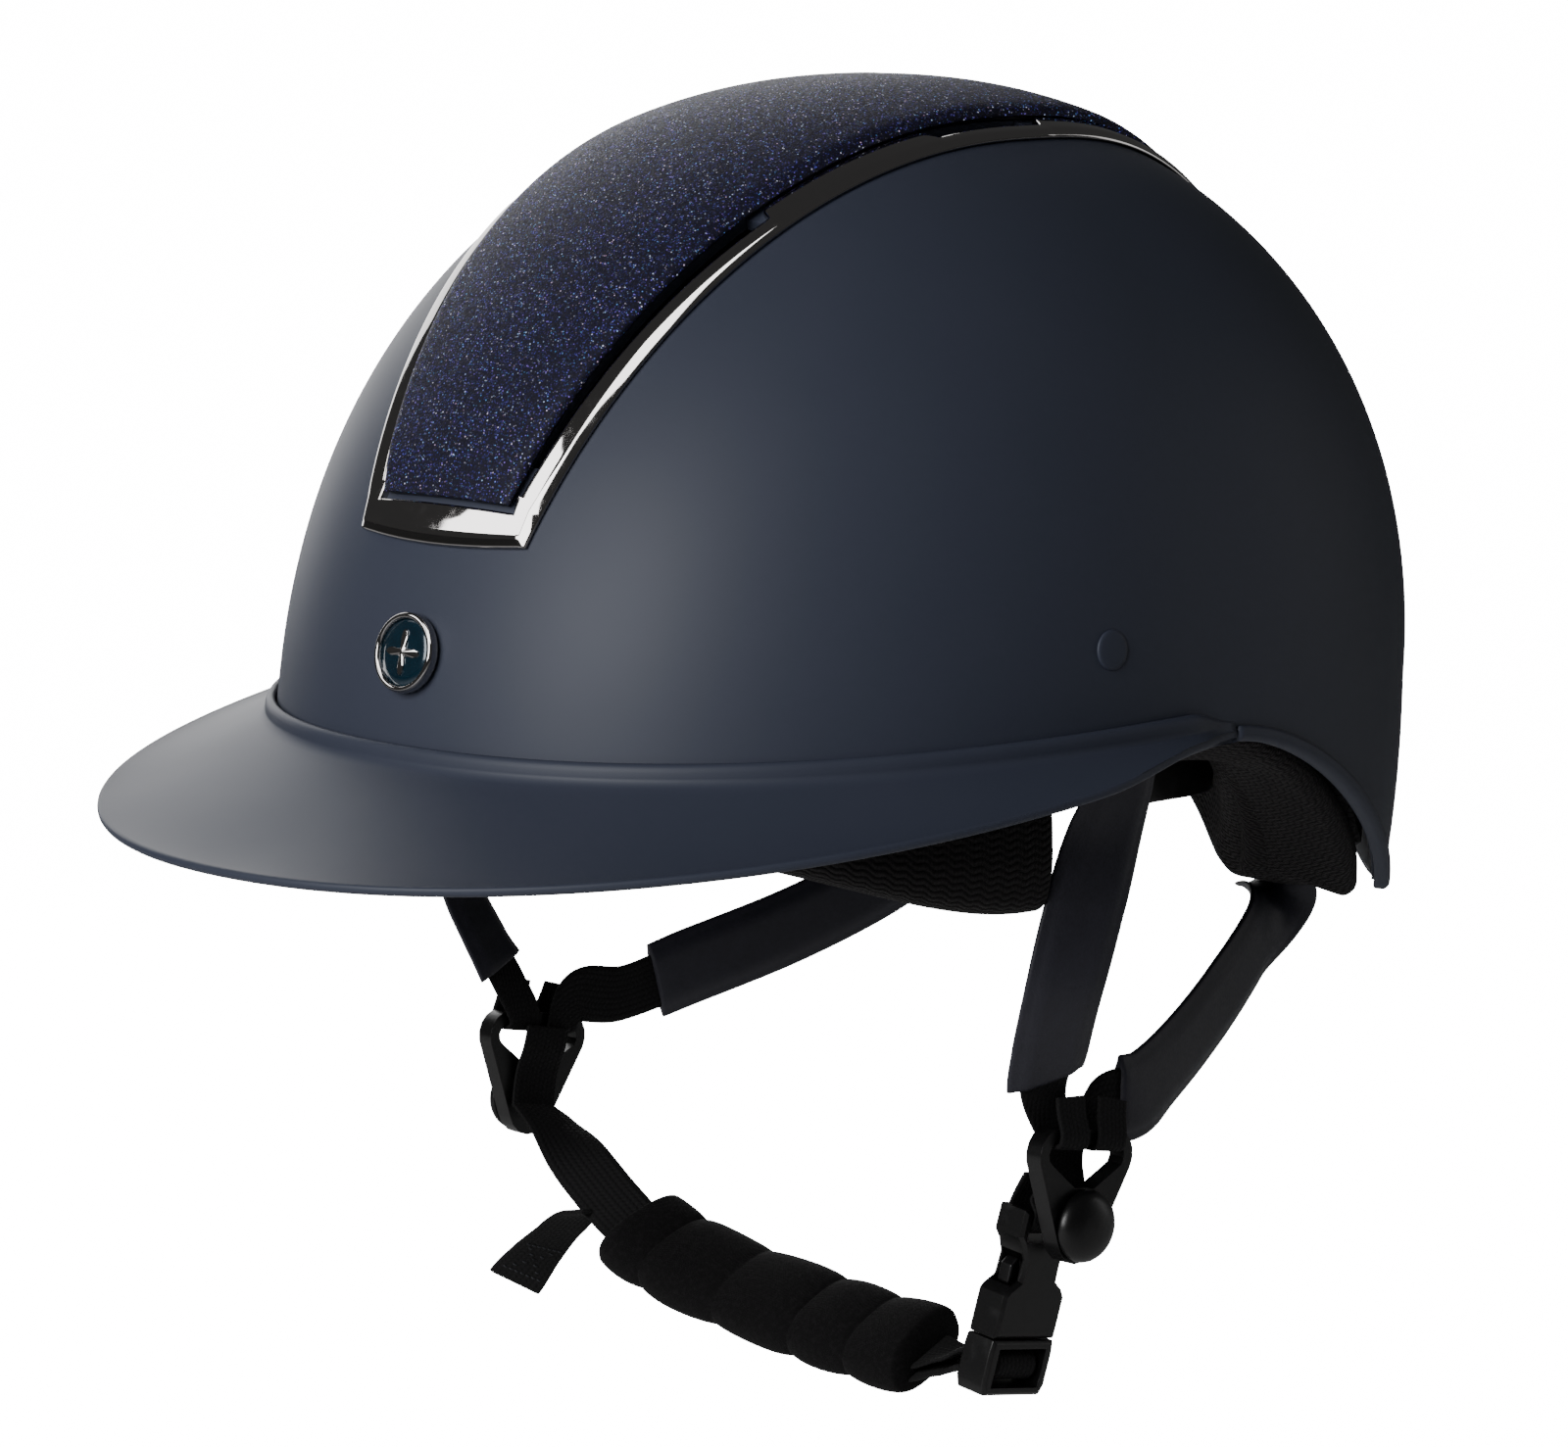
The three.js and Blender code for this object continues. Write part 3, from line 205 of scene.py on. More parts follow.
def write_mesh(name: str, points: Array, quads: Array, fans: Array,
               uv: Array | None = None) -> bpy.types.Object:
    """Put points, quads and end triangles into a new object, turned so that its faces point outwards.

    Args:
        name: Name of the piece.
        points: Places in millimetres, of shape (n, 3).
        quads: Corners of the four-sided faces, of shape (m, 4).
        fans: Corners of the triangles, of shape (k, 3); may be empty.
        uv: Surface coordinates of every corner in millimetres, quads first.

    Returns:
        The new object at the origin.
    """
    tris = np.concatenate([quads[:, [0, 1, 2]], quads[:, [0, 2, 3]], fans]) if len(quads) else fans
    a, b, c = (points[tris[:, k]] for k in range(3))
    if np.einsum("ij,ij->i", a, np.cross(b, c)).sum() < 0:
        quads, fans = quads[:, ::-1], fans[:, ::-1]
        if uv is not None:
            split = len(quads) * 4
            uv = np.concatenate([uv[:split].reshape(-1, 4, 2)[:, ::-1].reshape(-1, 2),
                                 uv[split:].reshape(-1, 3, 2)[:, ::-1].reshape(-1, 2)])
    corners = np.concatenate([quads.ravel(), fans.ravel()]).astype(np.int32)
    totals = np.concatenate([np.full(len(quads), 4), np.full(len(fans), 3)]).astype(np.int32)
    starts = np.concatenate([[0], np.cumsum(totals)[:-1]]).astype(np.int32)
    mesh = bpy.data.meshes.new(name)
    mesh.vertices.add(len(points))
    mesh.vertices.foreach_set("co", (points * MM).ravel().astype(np.float32))
    mesh.loops.add(len(corners))
    mesh.loops.foreach_set("vertex_index", corners)
    mesh.polygons.add(len(totals))
    mesh.polygons.foreach_set("loop_start", starts)
    mesh.polygons.foreach_set("loop_total", totals)
    mesh.polygons.foreach_set("use_smooth", np.ones(len(totals), dtype=bool))
    if uv is not None:
        layer = mesh.uv_layers.new(name="Surface")
        layer.data.foreach_set("uv", uv.ravel().astype(np.float32))
    mesh.update(calc_edges=True)
    mesh.validate()
    piece = bpy.data.objects.new(name, mesh)
    bpy.context.scene.collection.objects.link(piece)
    return piece


def loft(name: str, loops: Array, closed: bool = False) -> bpy.types.Object:
    """Carry loops one after another into a skin; u runs round a loop and v along the run, in millimetres.

    Args:
        name: Name of the piece.
        loops: Array of shape (rows, columns, 3); each loop closes on itself.
        closed: True where the last loop joins the first, as in a ring.

    Returns:
        The new object.
    """
    grid = np.concatenate([loops, loops[:1]]) if closed else loops
    rows, columns = grid.shape[:2]
    quads = grid_quads(rows, columns)
    across = np.linalg.norm(np.roll(grid, -1, axis=1) - grid, axis=-1)
    u = np.concatenate([np.zeros((rows, 1)), np.cumsum(across, axis=1)], axis=1)
    step = np.linalg.norm(np.diff(grid, axis=0), axis=-1).mean(axis=1)
    v = np.concatenate([[0.0], np.cumsum(step)])
    i, j = np.meshgrid(np.arange(rows - 1), np.arange(columns), indexing="ij")
    corner = lambda a, b: np.stack([u[a, b], v[a]], axis=-1)
    corners = [corner(i, j), corner(i, j + 1), corner(i + 1, j + 1), corner(i + 1, j)]
    uv = np.stack(corners, axis=2).reshape(-1, 2)
    if closed:
        quads = quads % (len(loops) * columns)
        return write_mesh(name, loops.reshape(-1, 3), quads, np.zeros((0, 3), dtype=int), uv)
    points = np.concatenate([grid.reshape(-1, 3), grid[[0, -1]].mean(axis=1)])
    ring = np.arange(columns)
    after = (ring + 1) % columns
    last = (rows - 1) * columns
    fans = np.concatenate([
        np.stack([after, ring, np.full(columns, rows * columns)], axis=-1),
        np.stack([last + ring, last + after, np.full(columns, rows * columns + 1)], axis=-1)])
    ends = np.concatenate([
        np.stack([corner(0 * ring, after), corner(0 * ring, ring), corner(0 * ring, ring)], axis=1),
        np.stack([corner(0 * ring + rows - 1, ring), corner(0 * ring + rows - 1, after),
                  corner(0 * ring + rows - 1, ring)], axis=1)]).reshape(-1, 2)
    return write_mesh(name, points, quads, fans, np.concatenate([uv, ends]))


def turned(name: str, profile: Sequence[tuple[float, float]], seat: Array, axis: Array, spin: Array,
           stretch: float = 1.0, segments: int = 72) -> bpy.types.Object:
    """Turn a profile of (radius, height) pairs about an axis.

    A point is seat + r (cos f spin + sin f side) + h axis, at the angle f.

    Args:
        name: Name of the piece.
        profile: Pairs from the foot's middle out and up to the top's middle.
        seat: Foot of the axis.
        axis: Direction of the axis.
        spin: Direction in which the angle is zero.
        stretch: Widening along spin.
        segments: Points round.

    Returns:
        The new object.
    """
    axis = unit(axis)
    spin = unit(spin - axis * np.dot(spin, axis))
    side = np.cross(axis, spin)
    turn = np.arange(segments) / segments * FULL_TURN
    r, h = np.array(profile, dtype=float).T
    r = np.maximum(r, POLE_RADIUS)
    loops = (seat + r[:, None, None] * (np.cos(turn)[None, :, None] * spin * stretch
                                        + np.sin(turn)[None, :, None] * side) + h[:, None, None] * axis)
    return loft(name, loops)


def merged_copy(node: str, name: str, bevel: float, segments: int = 2) -> bpy.types.Object:
    """Copy a frame node, merge its corners, join its flat triangles and round its edges.

    Args:
        node: The node to copy.
        name: Name of the new piece.
        bevel: Width of the rounding in millimetres.
        segments: Steps in the rounding.

    Returns:
        The new object, with its roundings applied.
    """
    source = bpy.data.objects[node]
    mesh = source.data.copy()
    mesh.materials.clear()
    work = bmesh.new()
    work.from_mesh(mesh)
    bmesh.ops.remove_doubles(work, verts=work.verts, dist=SAME_PLACE)
    bmesh.ops.dissolve_limit(work, angle_limit=FLAT_ANGLE, verts=work.verts, edges=work.edges)
    bmesh.ops.recalc_face_normals(work, faces=work.faces)
    work.to_mesh(mesh)
    work.free()
    piece = bpy.data.objects.new(name, mesh)
    bpy.context.scene.collection.objects.link(piece)
    rounding = piece.modifiers.new("edge_rounding", "BEVEL")
    rounding.width, rounding.segments, rounding.limit_method = bevel * MM, segments, "ANGLE"
    rounding.angle_limit = ROUNDED_ANGLE
    rounding.use_clamp_overlap = True
    applied(piece)
    piece.data.polygons.foreach_set("use_smooth", np.ones(len(piece.data.polygons), dtype=bool))
    piece.data.set_sharp_from_angle(angle=SHARP_ANGLE)
    return piece


def applied(piece: bpy.types.Object) -> bpy.types.Object:
    """Bake a piece's modifiers into its mesh.

    Args:
        piece: The piece.

    Returns:
        The same piece, without modifiers.
    """
    graph = bpy.context.evaluated_depsgraph_get()
    graph.update()
    mesh = bpy.data.meshes.new_from_object(piece.evaluated_get(graph), depsgraph=graph)
    piece.modifiers.clear()
    old, piece.data = piece.data, mesh
    bpy.data.meshes.remove(old)
    return piece


# ---------------------------------------------------------------- shader sums
class Wire:
    """A shader socket that takes part in sums; every sum adds its Math node."""

    def __init__(self, recipe: "Recipe", socket: Any) -> None:
        """Keep the recipe and the socket."""
        self.recipe, self.socket = recipe, socket

    def _sum(self, operation: str, a: Any, b: Any) -> "Wire":
        """Add one Math node on two values."""
        return self.recipe.make("ShaderNodeMath", {"operation": operation}, {0: a, 1: b}).out()

    def __add__(self, other: Any) -> "Wire":
        """Return self + other."""
        return self._sum("ADD", self, other)

    def __radd__(self, other: Any) -> "Wire":
        """Return other + self."""
        return self._sum("ADD", other, self)

    def __sub__(self, other: Any) -> "Wire":
        """Return self - other."""
        return self._sum("SUBTRACT", self, other)

    def __rsub__(self, other: Any) -> "Wire":
        """Return other - self."""
        return self._sum("SUBTRACT", other, self)

    def __mul__(self, other: Any) -> "Wire":
        """Return self * other."""
        return self._sum("MULTIPLY", self, other)

    def __rmul__(self, other: Any) -> "Wire":
        """Return other * self."""
        return self._sum("MULTIPLY", other, self)

    def wave(self) -> "Wire":
        """Return the sine of self."""
        return self._sum("SINE", self, 0.0)

    def absolute(self) -> "Wire":
        """Return self without its sign."""
        return self._sum("ABSOLUTE", self, 0.0)

    def ease(self, low: float, high: float, a: float = 0.0, b: float = 1.0) -> "Wire":
        """Map self smoothly from low..high to a..b."""
        sockets = {"Value": self, "From Min": low, "From Max": high, "To Min": a, "To Max": b}
        return self.recipe.make("ShaderNodeMapRange", {"interpolation_type": "SMOOTHSTEP"}, sockets).out(0)


class Made:
    """A node just made, whose outputs are read as wires."""

    def __init__(self, recipe: "Recipe", node: Any) -> None:
        """Keep the recipe and the node."""
        self.recipe, self.node = recipe, node

    def out(self, name: str | int = 0) -> Wire:
        """Return one of the node's outputs."""
        return Wire(self.recipe, self.node.outputs[name])


class Recipe:
    """One material under construction, with its Principled shader."""

    MIX_A, MIX_B, MIX_RESULT = 6, 7, 2

    def __init__(self, name: str) -> None:
        """Start an empty material of this name."""
        self.material = bpy.data.materials.new(name)
        self.material.use_nodes = True
        self.tree = self.material.node_tree
        self.shader = self.tree.nodes["Principled BSDF"]

    def make(self, kind: str, settings: dict[str, Any], inputs: dict[Any, Any]) -> Made:
        """Add a node: its settings first, then the values or links of its sockets.

        Args:
            kind: Type of the node.
            settings: Properties such as operation; "stops" fills a colour ramp.
            inputs: Value or wire for each socket, by name or number.

        Returns:
            The node made.
        """
        node = self.tree.nodes.new(kind)
        for key, value in settings.items():
            if key == "stops":
                self._fill_ramp(node.color_ramp, value)
            else:
                setattr(node, key, value)
        for key, value in inputs.items():
            self.feed(node.inputs[key], value)
        return Made(self, node)

    def _fill_ramp(self, ramp: Any, stops: Ramp) -> None:
        """Set the stops of a colour ramp.

        Args:
            ramp: The ramp.
            stops: Pairs of a place from 0 to 1 and a colour.
        """
        while len(ramp.elements) < len(stops):
            ramp.elements.new(0.5)
        for element, (place, colour) in zip(ramp.elements, stops):
            element.position, element.color = place, (*colour, 1.0)

    def feed(self, socket: Any, value: Any) -> None:
        """Link a wire to a socket, or set its value.

        Args:
            socket: The socket.
            value: A wire, a colour or a number.
        """
        if isinstance(value, Wire):
            self.tree.links.new(value.socket, socket)
        elif isinstance(value, tuple) and len(value) == 3 and socket.type == "RGBA":
            socket.default_value = (*value, 1.0)
        else:
            socket.default_value = value

    def place(self) -> Wire:
        """Return object coordinates in metres."""
        return self.make("ShaderNodeTexCoord", {}, {}).out("Object")

    def surface(self) -> tuple[Wire, Wire]:
        """Read the piece's own surface coordinates.

        Returns:
            The u and v wires, in millimetres.
        """
        uv = self.make("ShaderNodeUVMap", {"uv_map": "Surface"}, {}).out()
        split = self.make("ShaderNodeSeparateXYZ", {}, {0: uv})
        return split.out("X"), split.out("Y")

    def noise(self, size_mm: float, detail: float = 3.0) -> Wire:
        """Return soft noise from 0 to 1 whose blotches are about size_mm across."""
        sockets = {"Vector": self.place(), "Scale": PER_METRE / size_mm, "Detail": detail}
        return self.make("ShaderNodeTexNoise", {}, sockets).out(0)

    def cells(self, size_mm: float, output: str = "Distance", feature: str = "F1") -> Wire:
        """Return one output of a cell pattern whose cells are size_mm across."""
        sockets = {"Vector": self.place(), "Scale": PER_METRE / size_mm}
        return self.make("ShaderNodeTexVoronoi", {"feature": feature}, sockets).out(output)

    def blend(self, share: Any, a: Any, b: Any, mode: str = "MIX") -> Wire:
        """Mix two colours.

        Args:
            share: 0 gives a, and 1 gives b or what the mode makes of both.
            a: First colour.
            b: Second colour.
            mode: How they mix.

        Returns:
            The colour.
        """
        sockets = {0: share, self.MIX_A: a, self.MIX_B: b}
        node = self.make("ShaderNodeMix", {"data_type": "RGBA", "blend_type": mode}, sockets)
        return node.out(self.MIX_RESULT)

    def relief(self, height: Wire, depth_mm: float, strength: float = 1.0) -> Wire:
        """Return a normal bumped by the height, which is worth depth_mm at 1."""
        return self.make("ShaderNodeBump", {}, {"Height": height, "Distance": depth_mm * MM,
                                                "Strength": strength}).out()

    def finish(self, **sockets: Any) -> bpy.types.Material:
        """Set the shader's sockets.

        Args:
            **sockets: Value or wire for each socket, named with _ for a space.

        Returns:
            The finished material.
        """
        for key, value in sockets.items():
            self.feed(self.shader.inputs[key.replace("_", " ")], value)
        return self.material


class Finish(Enum):
    """The finishes; Wardrobe.SLOTS pairs two of them with other names."""

    SHELL = "shell"
    CHROME = "chrome"
    GLITTER = "glitter"
    PLASTIC = "plastic"
    ENAMEL = "enamel"
    FOAM = "foam"
    KNIT = "mesh"
    LEATHER = "leather"
    WEBBING = "webbing"
    PAD = "pad"
    THREAD = "thread"


@dataclass(frozen=True)
class MattPaint:
    """Soft-touch matt paint on the shell and the peak."""

    colour: Colour = (0.041, 0.048, 0.074)
    shade: Colour = (0.037, 0.044, 0.069)
    roughness: float = 0.52
    cloud: float = 26.0
    powder: float = 0.22

    def build(self) -> bpy.types.Material:
        """Make the material: faint mottling, powdery micro-bump and slightly uneven gloss.

        Returns:
            The material.
        """
        r = Recipe("matt_paint")
        mottle = r.noise(self.cloud, 4.0)
        powder = r.noise(self.powder, 2.0)
        return r.finish(Base_Color=r.blend(mottle, self.shade, self.colour), Specular_IOR_Level=0.42,
                        Roughness=mottle * 0.05 + (self.roughness - 0.02) + powder * 0.03,
                        Normal=r.relief(powder, 0.012, 0.35))


@dataclass(frozen=True)
class DarkChrome:
    """Smoked mirror plating on the trim and the badge's rim."""

    colour: Colour = (0.42, 0.405, 0.40)
    rub: float = 3.0
    ripple: float = 16.0

    def build(self) -> bpy.types.Material:
        """Make the material: a mirror with the faintest waviness and rub marks.

        Returns:
            The material.
        """
        r = Recipe("dark_chrome")
        rub = r.noise(self.rub, 5.0)
        return r.finish(Base_Color=self.colour, Metallic=1.0, Roughness=rub.ease(0.45, 0.8, 0.045, 0.11),
                        Normal=r.relief(r.noise(self.ripple, 1.0), 0.05, 0.3))


@dataclass(frozen=True)
class GlitterCloth:
    """Near-black navy cloth set with tiny flakes of blue, violet, cyan and white; the brightest flakes glow
    with painted glints.
    """

    ground: Colour = (0.008, 0.0075, 0.020)
    hues: Ramp = ((0.0, (0.05, 0.05, 0.22)), (0.35, (0.09, 0.09, 0.50)), (0.6, (0.20, 0.12, 0.52)),
                  (0.8, (0.08, 0.28, 0.60)), (0.93, (0.70, 0.72, 0.90)), (1.0, (0.5, 0.3, 0.5)))
    flake: float = 0.42
    clump: float = 2.4
    # Strength of the painted glints that the brightest flakes emit.
    glow: float = 1.5

    def build(self) -> bpy.types.Material:
        """Make the material: every cell is one flake with its own tilt, colour and brightness; the brightest
        flakes emit painted glints.

        Returns:
            The material.
        """
        r = Recipe("glitter_cloth")
        tint = r.cells(self.flake, "Color")
        split = r.make("ShaderNodeSeparateColor", {}, {0: tint})
        pick, light, tilt = split.out(0), split.out(1), split.out(2)
        edge = r.cells(self.flake, "Distance").ease(0.15, 0.6, 1.0, 0.0)
        hue = r.make("ShaderNodeValToRGB", {"stops": self.hues}, {0: pick}).out(0)
        shine = light.ease(0.35, 0.95) * edge
        spark = light.ease(0.84, 1.0) * edge * pick.ease(0.1, 0.6, 0.35, 1.0)
        clump = r.noise(self.clump, 3.0).ease(0.35, 0.7, 0.55, 1.0)
        colour = r.blend(shine * clump, self.ground, hue)
        # Painted glints: the brightest flakes, in their own hue, feed the emission.
        painted_glint_mask = r.make("ShaderNodeCombineColor", {}, {0: spark, 1: spark, 2: spark}).out()
        glow = r.blend(1.0, hue, painted_glint_mask, "MULTIPLY")
        return r.finish(Base_Color=colour, Metallic=shine * 0.6, Specular_IOR_Level=0.25,
                        Roughness=tilt * 0.3 + 0.48 - spark * 0.2,
                        Emission_Color=glow, Emission_Strength=self.glow,
                        Normal=r.relief(tilt * 0.7 + edge * 0.3, 0.30, 0.55))


@dataclass(frozen=True)
class BlackPlastic:
    """Satin moulded black plastic."""

    colour: Colour = (0.0040, 0.0039, 0.0042)
    roughness: float = 0.36
    grain: float = 0.35
    scuff: float = 7.0

    def build(self) -> bpy.types.Material:
        """Make the material: spark-eroded texture and handling scuffs.

        Returns:
            The material.
        """
        r = Recipe("satin_plastic")
        grain = r.noise(self.grain, 3.0)
        scuff = r.noise(self.scuff, 6.0).ease(0.55, 0.75)
        rubbed = tuple(c * 1.5 + 0.002 for c in self.colour)
        return r.finish(Base_Color=r.blend(scuff, self.colour, rubbed),
                        Roughness=grain * 0.10 + scuff * 0.12 + (self.roughness - 0.07),
                        Normal=r.relief(grain, 0.03, 0.4))


@dataclass(frozen=True)
class BadgeEnamel:
    """Deep teal enamel under a clear coat."""

    colour: Colour = (0.006, 0.030, 0.052)
    cloud: float = 3.0

    def build(self) -> bpy.types.Material:
        """Make the material: colour pools darker in a soft cloud under gloss.

        Returns:
            The material.
        """
        r = Recipe("badge_enamel")
        pool = r.noise(self.cloud, 2.0)
        dark = tuple(c * 0.6 for c in self.colour)
        return r.finish(Base_Color=r.blend(pool, dark, self.colour),
                        Roughness=pool * 0.06 + 0.14, Metallic=0.35, Coat_Weight=0.8, Coat_Roughness=0.05)


@dataclass(frozen=True)
class BeadFoam:
    """Black expanded bead foam."""

    bead: float = 3.4
    seam: Colour = (0.006, 0.006, 0.006)
    colour: Colour = (0.018, 0.018, 0.019)

    def build(self) -> bpy.types.Material:
        """Make the material: packed beads with darker seams.

        Returns:
            The material.
        """
        r = Recipe("bead_foam")
        seam = r.cells(self.bead, "Distance", "DISTANCE_TO_EDGE").ease(0.0, 0.12)
        return r.finish(Base_Color=r.blend(seam, self.seam, self.colour),
                        Roughness=seam * -0.12 + 0.86, Normal=r.relief(seam + r.noise(0.8) * 0.3, 0.25, 0.5))


@dataclass(frozen=True)
class WavyKnit:
    """Spacer knit with fine wavy ribs that follow the pad's length."""

    rib: float = 1.75
    wave: float = 4.2
    stitch: float = 0.9
    colour: Colour = (0.012, 0.010, 0.011)

    def build(self) -> bpy.types.Material:
        """Make the material: |sin(pi (u + 0.42 sin(2 pi v / wave)) / rib)| high, stitched finely across.

        Returns:
            The material.
        """
        r = Recipe("wavy_knit")
        u, v = r.surface()
        bent = u + (v * (FULL_TURN / self.wave)).wave() * 0.42 + r.noise(9.0, 2.0) * 0.5
        rib = (bent * (math.pi / self.rib)).wave().absolute()
        stitch = (v * (FULL_TURN / self.stitch)).wave() * 0.5 + 0.5
        height = rib * 0.8 + stitch * rib * 0.25 + r.noise(0.3, 2.0) * 0.15
        # Painted shade: the colour darkens to a third in the low grooves between the ribs, following the
        # bump's height.
        dark = tuple(c * 0.3 for c in self.colour)
        return r.finish(Base_Color=r.blend(height, dark, self.colour), Roughness=rib * -0.1 + 0.92,
                        Sheen_Weight=0.04, Sheen_Roughness=0.45, Specular_IOR_Level=0.3,
                        Normal=r.relief(height, 0.55, 0.9))


@dataclass(frozen=True)
class SmoothLeather:
    """Smooth leather-look cover cloth in navy black."""

    colour: Colour = (0.032, 0.032, 0.046)
    pebble: float = 0.55
    crease: float = 5.0

    def build(self) -> bpy.types.Material:
        """Make the material: pebbled grain and creases, which also vary the roughness.

        Returns:
            The material.
        """
        r = Recipe("cover_leather")
        pebble = r.cells(self.pebble, "Distance", "SMOOTH_F1")
        crease = r.noise(self.crease, 5.0)
        # Painted shade: the colour darkens in the creases, where the crease noise that also drives the bump
        # is low.
        dark = tuple(c * 0.72 for c in self.colour)
        return r.finish(Base_Color=r.blend(crease, dark, self.colour), Specular_IOR_Level=0.45,
                        Roughness=pebble * 0.12 + crease * 0.08 + 0.40,
                        Normal=r.relief(pebble * 0.6 + crease * 0.6, 0.10, 0.5))


@dataclass(frozen=True)
class WovenWebbing:
    """Tight black webbing with a herringbone weave and a selvedge."""

    pitch: float = 1.5
    fuzz: float = 0.4
    colour: Colour = (0.0040, 0.0038, 0.0042)

    def build(self) -> bpy.types.Material:
        """Make the material: warp ribs along the strap, crossed by slanting weft that turns at each rib.

        Returns:
            The material.
        """
        r = Recipe("webbing")
        u, v = r.surface()
        warp = (u * (math.pi / self.pitch)).wave()
        slant = (v * (FULL_TURN / (self.pitch * 0.9)) + warp * 2.2).wave() * 0.5 + 0.5
        height = warp.absolute() * 0.6 + slant * 0.4
        fuzz = r.noise(self.fuzz, 3.0)
        # Painted highlight: the raised threads and fuzz are lightened, following the bump's height.
        light = tuple(c * 2.1 for c in self.colour)
        return r.finish(Base_Color=r.blend(height * fuzz * 1.5, self.colour, light),
                        Roughness=height * -0.12 + 0.86, Sheen_Weight=0.02, Sheen_Roughness=0.5,
                        Specular_IOR_Level=0.25,
                        Normal=r.relief(height + fuzz * 0.3, 0.22, 0.85))


@dataclass(frozen=True)
class PadCloth:
    """Soft brushed cloth of the chin cushion."""

    colour: Colour = (0.0030, 0.0027, 0.0030)
    thread: float = 0.8
    nap: float = 1.2

    def build(self) -> bpy.types.Material:
        """Make the material: a fine plain weave with brushed nap, lighter where the nap stands up as a
        painted highlight.

        Returns:
            The material.
        """
        r = Recipe("pad_cloth")
        u, v = r.surface()
        turns = FULL_TURN / self.thread
        weave = (u * turns).wave() * (v * turns).wave() * 0.5 + 0.5
        nap = r.noise(self.nap, 5.0)
        # Painted highlight: the raised nap is lightened, following the bump's height.
        light = tuple(c * 2.4 for c in self.colour)
        return r.finish(Base_Color=r.blend(nap.ease(0.4, 0.75), self.colour, light),
                        Roughness=nap * 0.08 + 0.88, Sheen_Weight=0.02, Sheen_Roughness=0.45,
                        Specular_IOR_Level=0.2,
                        Normal=r.relief(weave * 0.4 + nap * 0.8, 0.22, 0.7))


@dataclass(frozen=True)
class SewingThread:
    """Twisted polyester thread."""

    colour: Colour = (0.022, 0.023, 0.030)
    lay: float = 0.25

    def build(self) -> bpy.types.Material:
        """Make the material: a fine lay across the stitch.

        Returns:
            The material.
        """
        r = Recipe("sewing_thread")
        lay = r.noise(self.lay, 3.0)
        # Painted shade: the colour darkens in the low grooves of the lay, following the bump's height.
        dark = tuple(c * 0.6 for c in self.colour)
        return r.finish(Base_Color=r.blend(lay, dark, self.colour),
                        Roughness=lay * 0.2 + 0.5, Normal=r.relief(lay, 0.08, 0.6))


class Wardrobe:
    """Builds each finish once and dresses pieces with it."""

    MAKERS: dict[Finish, Any] = {
        Finish.SHELL: MattPaint(), Finish.CHROME: DarkChrome(), Finish.GLITTER: GlitterCloth(),
        Finish.PLASTIC: BlackPlastic(), Finish.ENAMEL: BadgeEnamel(), Finish.FOAM: BeadFoam(),
        Finish.KNIT: WavyKnit(), Finish.LEATHER: SmoothLeather(), Finish.WEBBING: WovenWebbing(),
        Finish.PAD: PadCloth(), Finish.THREAD: SewingThread()}
    SLOTS: dict[Finish, str] = {Finish.PAD: "webbing", Finish.THREAD: "leather"}

    def __init__(self) -> None:
        """Start with nothing built."""
        self.made: dict[Finish, bpy.types.Material] = {}

    def material(self, finish: Finish) -> bpy.types.Material:
        """Look up a finish's material, built at its first use.

        Args:
            finish: The finish.

        Returns:
            Its material.
        """
        if finish not in self.made:
            self.made[finish] = self.MAKERS[finish].build()
        return self.made[finish]

    def dress(self, piece: bpy.types.Object, finish: Finish, body: str = "helmet",
              stands_for: Sequence[str] = ()) -> bpy.types.Object:
        """Give a new piece its finish, its body and the nodes that it stands for.

        Args:
            piece: The piece.
            finish: Its finish.
            body: The body it moves with.
            stands_for: Frame nodes that it replaces.

        Returns:
            The piece.
        """
        piece.data.materials.clear()
        piece.data.materials.append(self.material(finish))
        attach(piece, body)
        if stands_for:
            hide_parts(*stands_for)
        LOG.info("piece %s on %s: %s", piece.name, body, finish.name.lower())
        return piece

    def repaint(self, node: str, finish: Finish) -> None:
        """Give a frame node that stays in view a finish of this set.

        Args:
            node: The node.
            finish: Its finish.
        """
        slots = bpy.data.objects[node].material_slots
        for entry in slots:
            entry.material = self.material(finish)
        LOG.info("node %s keeps its shape: %s", node, finish.name.lower())


WARDROBE = Wardrobe()


